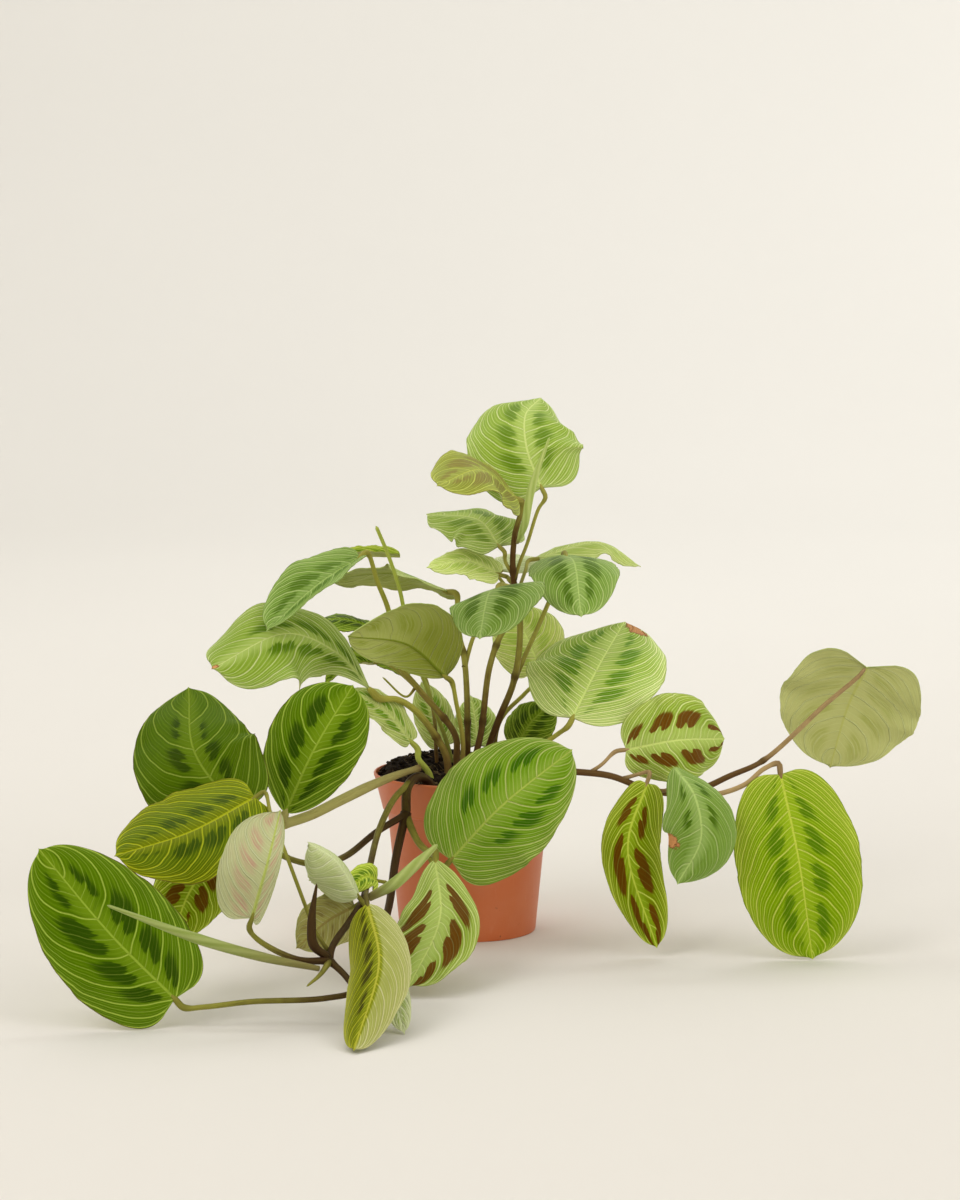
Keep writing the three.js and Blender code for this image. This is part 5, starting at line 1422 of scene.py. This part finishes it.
def fibre(draws, looks):
    """One fibre that lies loosely on the soil, as points in millimetres and faces."""
    turn, radius = draws.uniform(0, FULL_TURN), FIBRE_START * MM * math.sqrt(draws.random())
    x, y = radius * math.cos(turn) / MM, radius * math.sin(turn) / MM
    heading, length = draws.uniform(0, FULL_TURN), draws.uniform(*FIBRE_LENGTHS)
    bend = draws.uniform(-0.8, 0.8)
    path = []
    for k in range(4):
        px = x + length * k / 3 * math.cos(heading + bend * k / 3)
        py = y + length * k / 3 * math.sin(heading + bend * k / 3)
        inward = min(1, FIBRE_REACH / max(math.hypot(px, py), 1))
        px, py = px * inward, py * inward
        lift = draws.uniform(*FIBRE_LIFT)
        path.append((px, py, soil_height(looks, px * MM, py * MM) / MM + lift))
    ring, sides, _, _ = swept_tube(path, FIBRE_RADII, FIBRE_SIDES, FIBRE_STEP)
    return ring, sides


class MARANTA_OT_soil(bpy.types.Operator):
    """Build the soil with its crumbs and fibres"""

    bl_idname = "maranta.soil"
    bl_label = "Soil"

    def execute(self, context):
        looks = context.scene.maranta_soil_looks
        draws = random.Random(SOIL_SEED)
        points, faces = soil_body(looks)
        for _ in range(looks.crumbs):
            turn, radius = draws.uniform(0, FULL_TURN), CRUMB_REACH * MM * math.sqrt(draws.random())
            size = draws.uniform(*CRUMB_SIZES) * MM
            radius = min(radius, SOIL_RADIUS * MM - size * 1.2)
            x, y = radius * math.cos(turn), radius * math.sin(turn)
            more, sides = crumb(draws, x, y, soil_height(looks, x, y) + size * 0.3, size)
            faces += moved(sides, len(points))
            points += more
        slots = [0] * len(faces)
        for _ in range(looks.fibres):
            ring, sides = fibre(draws, looks)
            faces += moved(sides, len(points))
            points += [tuple(p * MM) for p in ring]
        slots += [1] * (len(faces) - len(slots))
        mesh = made_mesh("soil", points, faces, {}, [soil_material(looks), fibre_material(looks)], slots)
        made_piece("potting_soil", mesh, "soil", "soil")
        return {"FINISHED"}


def area_light(name, power, place, size, colour, aim):
    data = bpy.data.lights.new(name, "AREA")
    data.shape = "SQUARE"
    data.size = size
    data.energy = power
    data.color = colour
    lamp = bpy.data.objects.new(name, data)
    lamp.location = place
    lamp.rotation_euler = (Vector(aim) - Vector(place)).to_track_quat("-Z", "Y").to_euler()
    lamp.visible_camera = False
    bpy.context.scene.collection.objects.link(lamp)


def paper_material(looks):
    """Plain matt studio paper with a barely visible grain."""
    s = Shader("studio_paper")
    place = s.place()
    grain = s.noise(place, 240.0, 3.0, 0.5)
    clouds = s.noise(place, 0.9, 2.0, 0.5)
    darker = tuple(channel * 0.985 for channel in looks.paper)
    colour = s.mix(clouds.rise(0.3, 0.7), darker, looks.paper)
    return s.finish(colour, 0.86 + (grain - 0.5) * 0.05, 0.2, s.bump(grain, 0.05 * MM, 0.2))


class MARANTA_OT_stage(bpy.types.Operator):
    """Build the floor with its curved backdrop, the lights and the camera"""

    bl_idname = "maranta.stage"
    bl_label = "Stage"

    def execute(self, context):
        looks = context.scene.maranta_stage_looks
        flat = looks.radius - STAGE_BEND
        profile = [(0.0001, 0.0), (flat, 0.0)]
        for k in range(1, BEND_STEPS + 1):
            turn = math.pi / 2 * k / BEND_STEPS
            profile.append((flat + STAGE_BEND * math.sin(turn), STAGE_BEND - STAGE_BEND * math.cos(turn)))
        profile.append((looks.radius, looks.height))
        mesh = lathe_mesh("stage", profile, STAGE_SIDES, [paper_material(looks)], close=False)
        floor = bpy.data.objects.new("stage", mesh)
        context.scene.collection.objects.link(floor)

        for name, facts in LIGHTS.items():
            area_light(f"{name}_light", getattr(looks, f"{name}_power"), *facts)
        world = bpy.data.worlds.new("studio")
        world.use_nodes = True
        background = world.node_tree.nodes["Background"]
        background.inputs["Color"].default_value = SKY_COLOUR
        background.inputs["Strength"].default_value = looks.sky
        context.scene.world = world
        context.scene.view_settings.view_transform = "Standard"

        camera = bpy.data.cameras.new("camera")
        camera.lens = looks.lens
        camera.sensor_width = FRAME_SIDE
        camera.clip_end = VIEW_END
        eye = bpy.data.objects.new("camera", camera)
        eye.location = looks.camera_place
        eye.rotation_euler = (math.pi / 2 - looks.camera_pitch, 0, 0)
        context.scene.collection.objects.link(eye)
        context.scene.camera = eye
        return {"FINISHED"}


class MARANTA_PT_panel(bpy.types.Panel):
    """Lists the steps that build the plant"""

    bl_idname = "MARANTA_PT_panel"
    bl_label = "Prayer plant"
    bl_space_type = "VIEW_3D"
    bl_region_type = "UI"
    bl_category = "Prayer plant"

    def draw(self, context):
        for operator in OPERATORS:
            self.layout.operator(operator.bl_idname)


GROUPS = {
    "maranta_leaf_colours": LeafColours,
    "maranta_leaf_sizes": LeafSizes,
    "maranta_stem_looks": StemLooks,
    "maranta_pot_looks": PotLooks,
    "maranta_soil_looks": SoilLooks,
    "maranta_stage_looks": StageLooks,
}
OPERATORS = (
    MARANTA_OT_pot,
    MARANTA_OT_soil,
    MARANTA_OT_stems,
    MARANTA_OT_rolled,
    MARANTA_OT_leaves,
    MARANTA_OT_stage,
)


def register():
    for name, group in GROUPS.items():
        bpy.utils.register_class(group)
        setattr(bpy.types.Scene, name, bpy.props.PointerProperty(type=group))
    for operator in OPERATORS:
        bpy.utils.register_class(operator)
    bpy.utils.register_class(MARANTA_PT_panel)


def unregister():
    bpy.utils.unregister_class(MARANTA_PT_panel)
    for operator in reversed(OPERATORS):
        bpy.utils.unregister_class(operator)
    for name, group in reversed(GROUPS.items()):
        delattr(bpy.types.Scene, name)
        bpy.utils.unregister_class(group)


def main():
    register()
    bpy.ops.maranta.pot()
    bpy.ops.maranta.soil()
    bpy.ops.maranta.stems()
    bpy.ops.maranta.rolled()
    bpy.ops.maranta.leaves()
    bpy.ops.maranta.stage()
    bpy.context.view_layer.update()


if __name__ == "__main__":
    main()
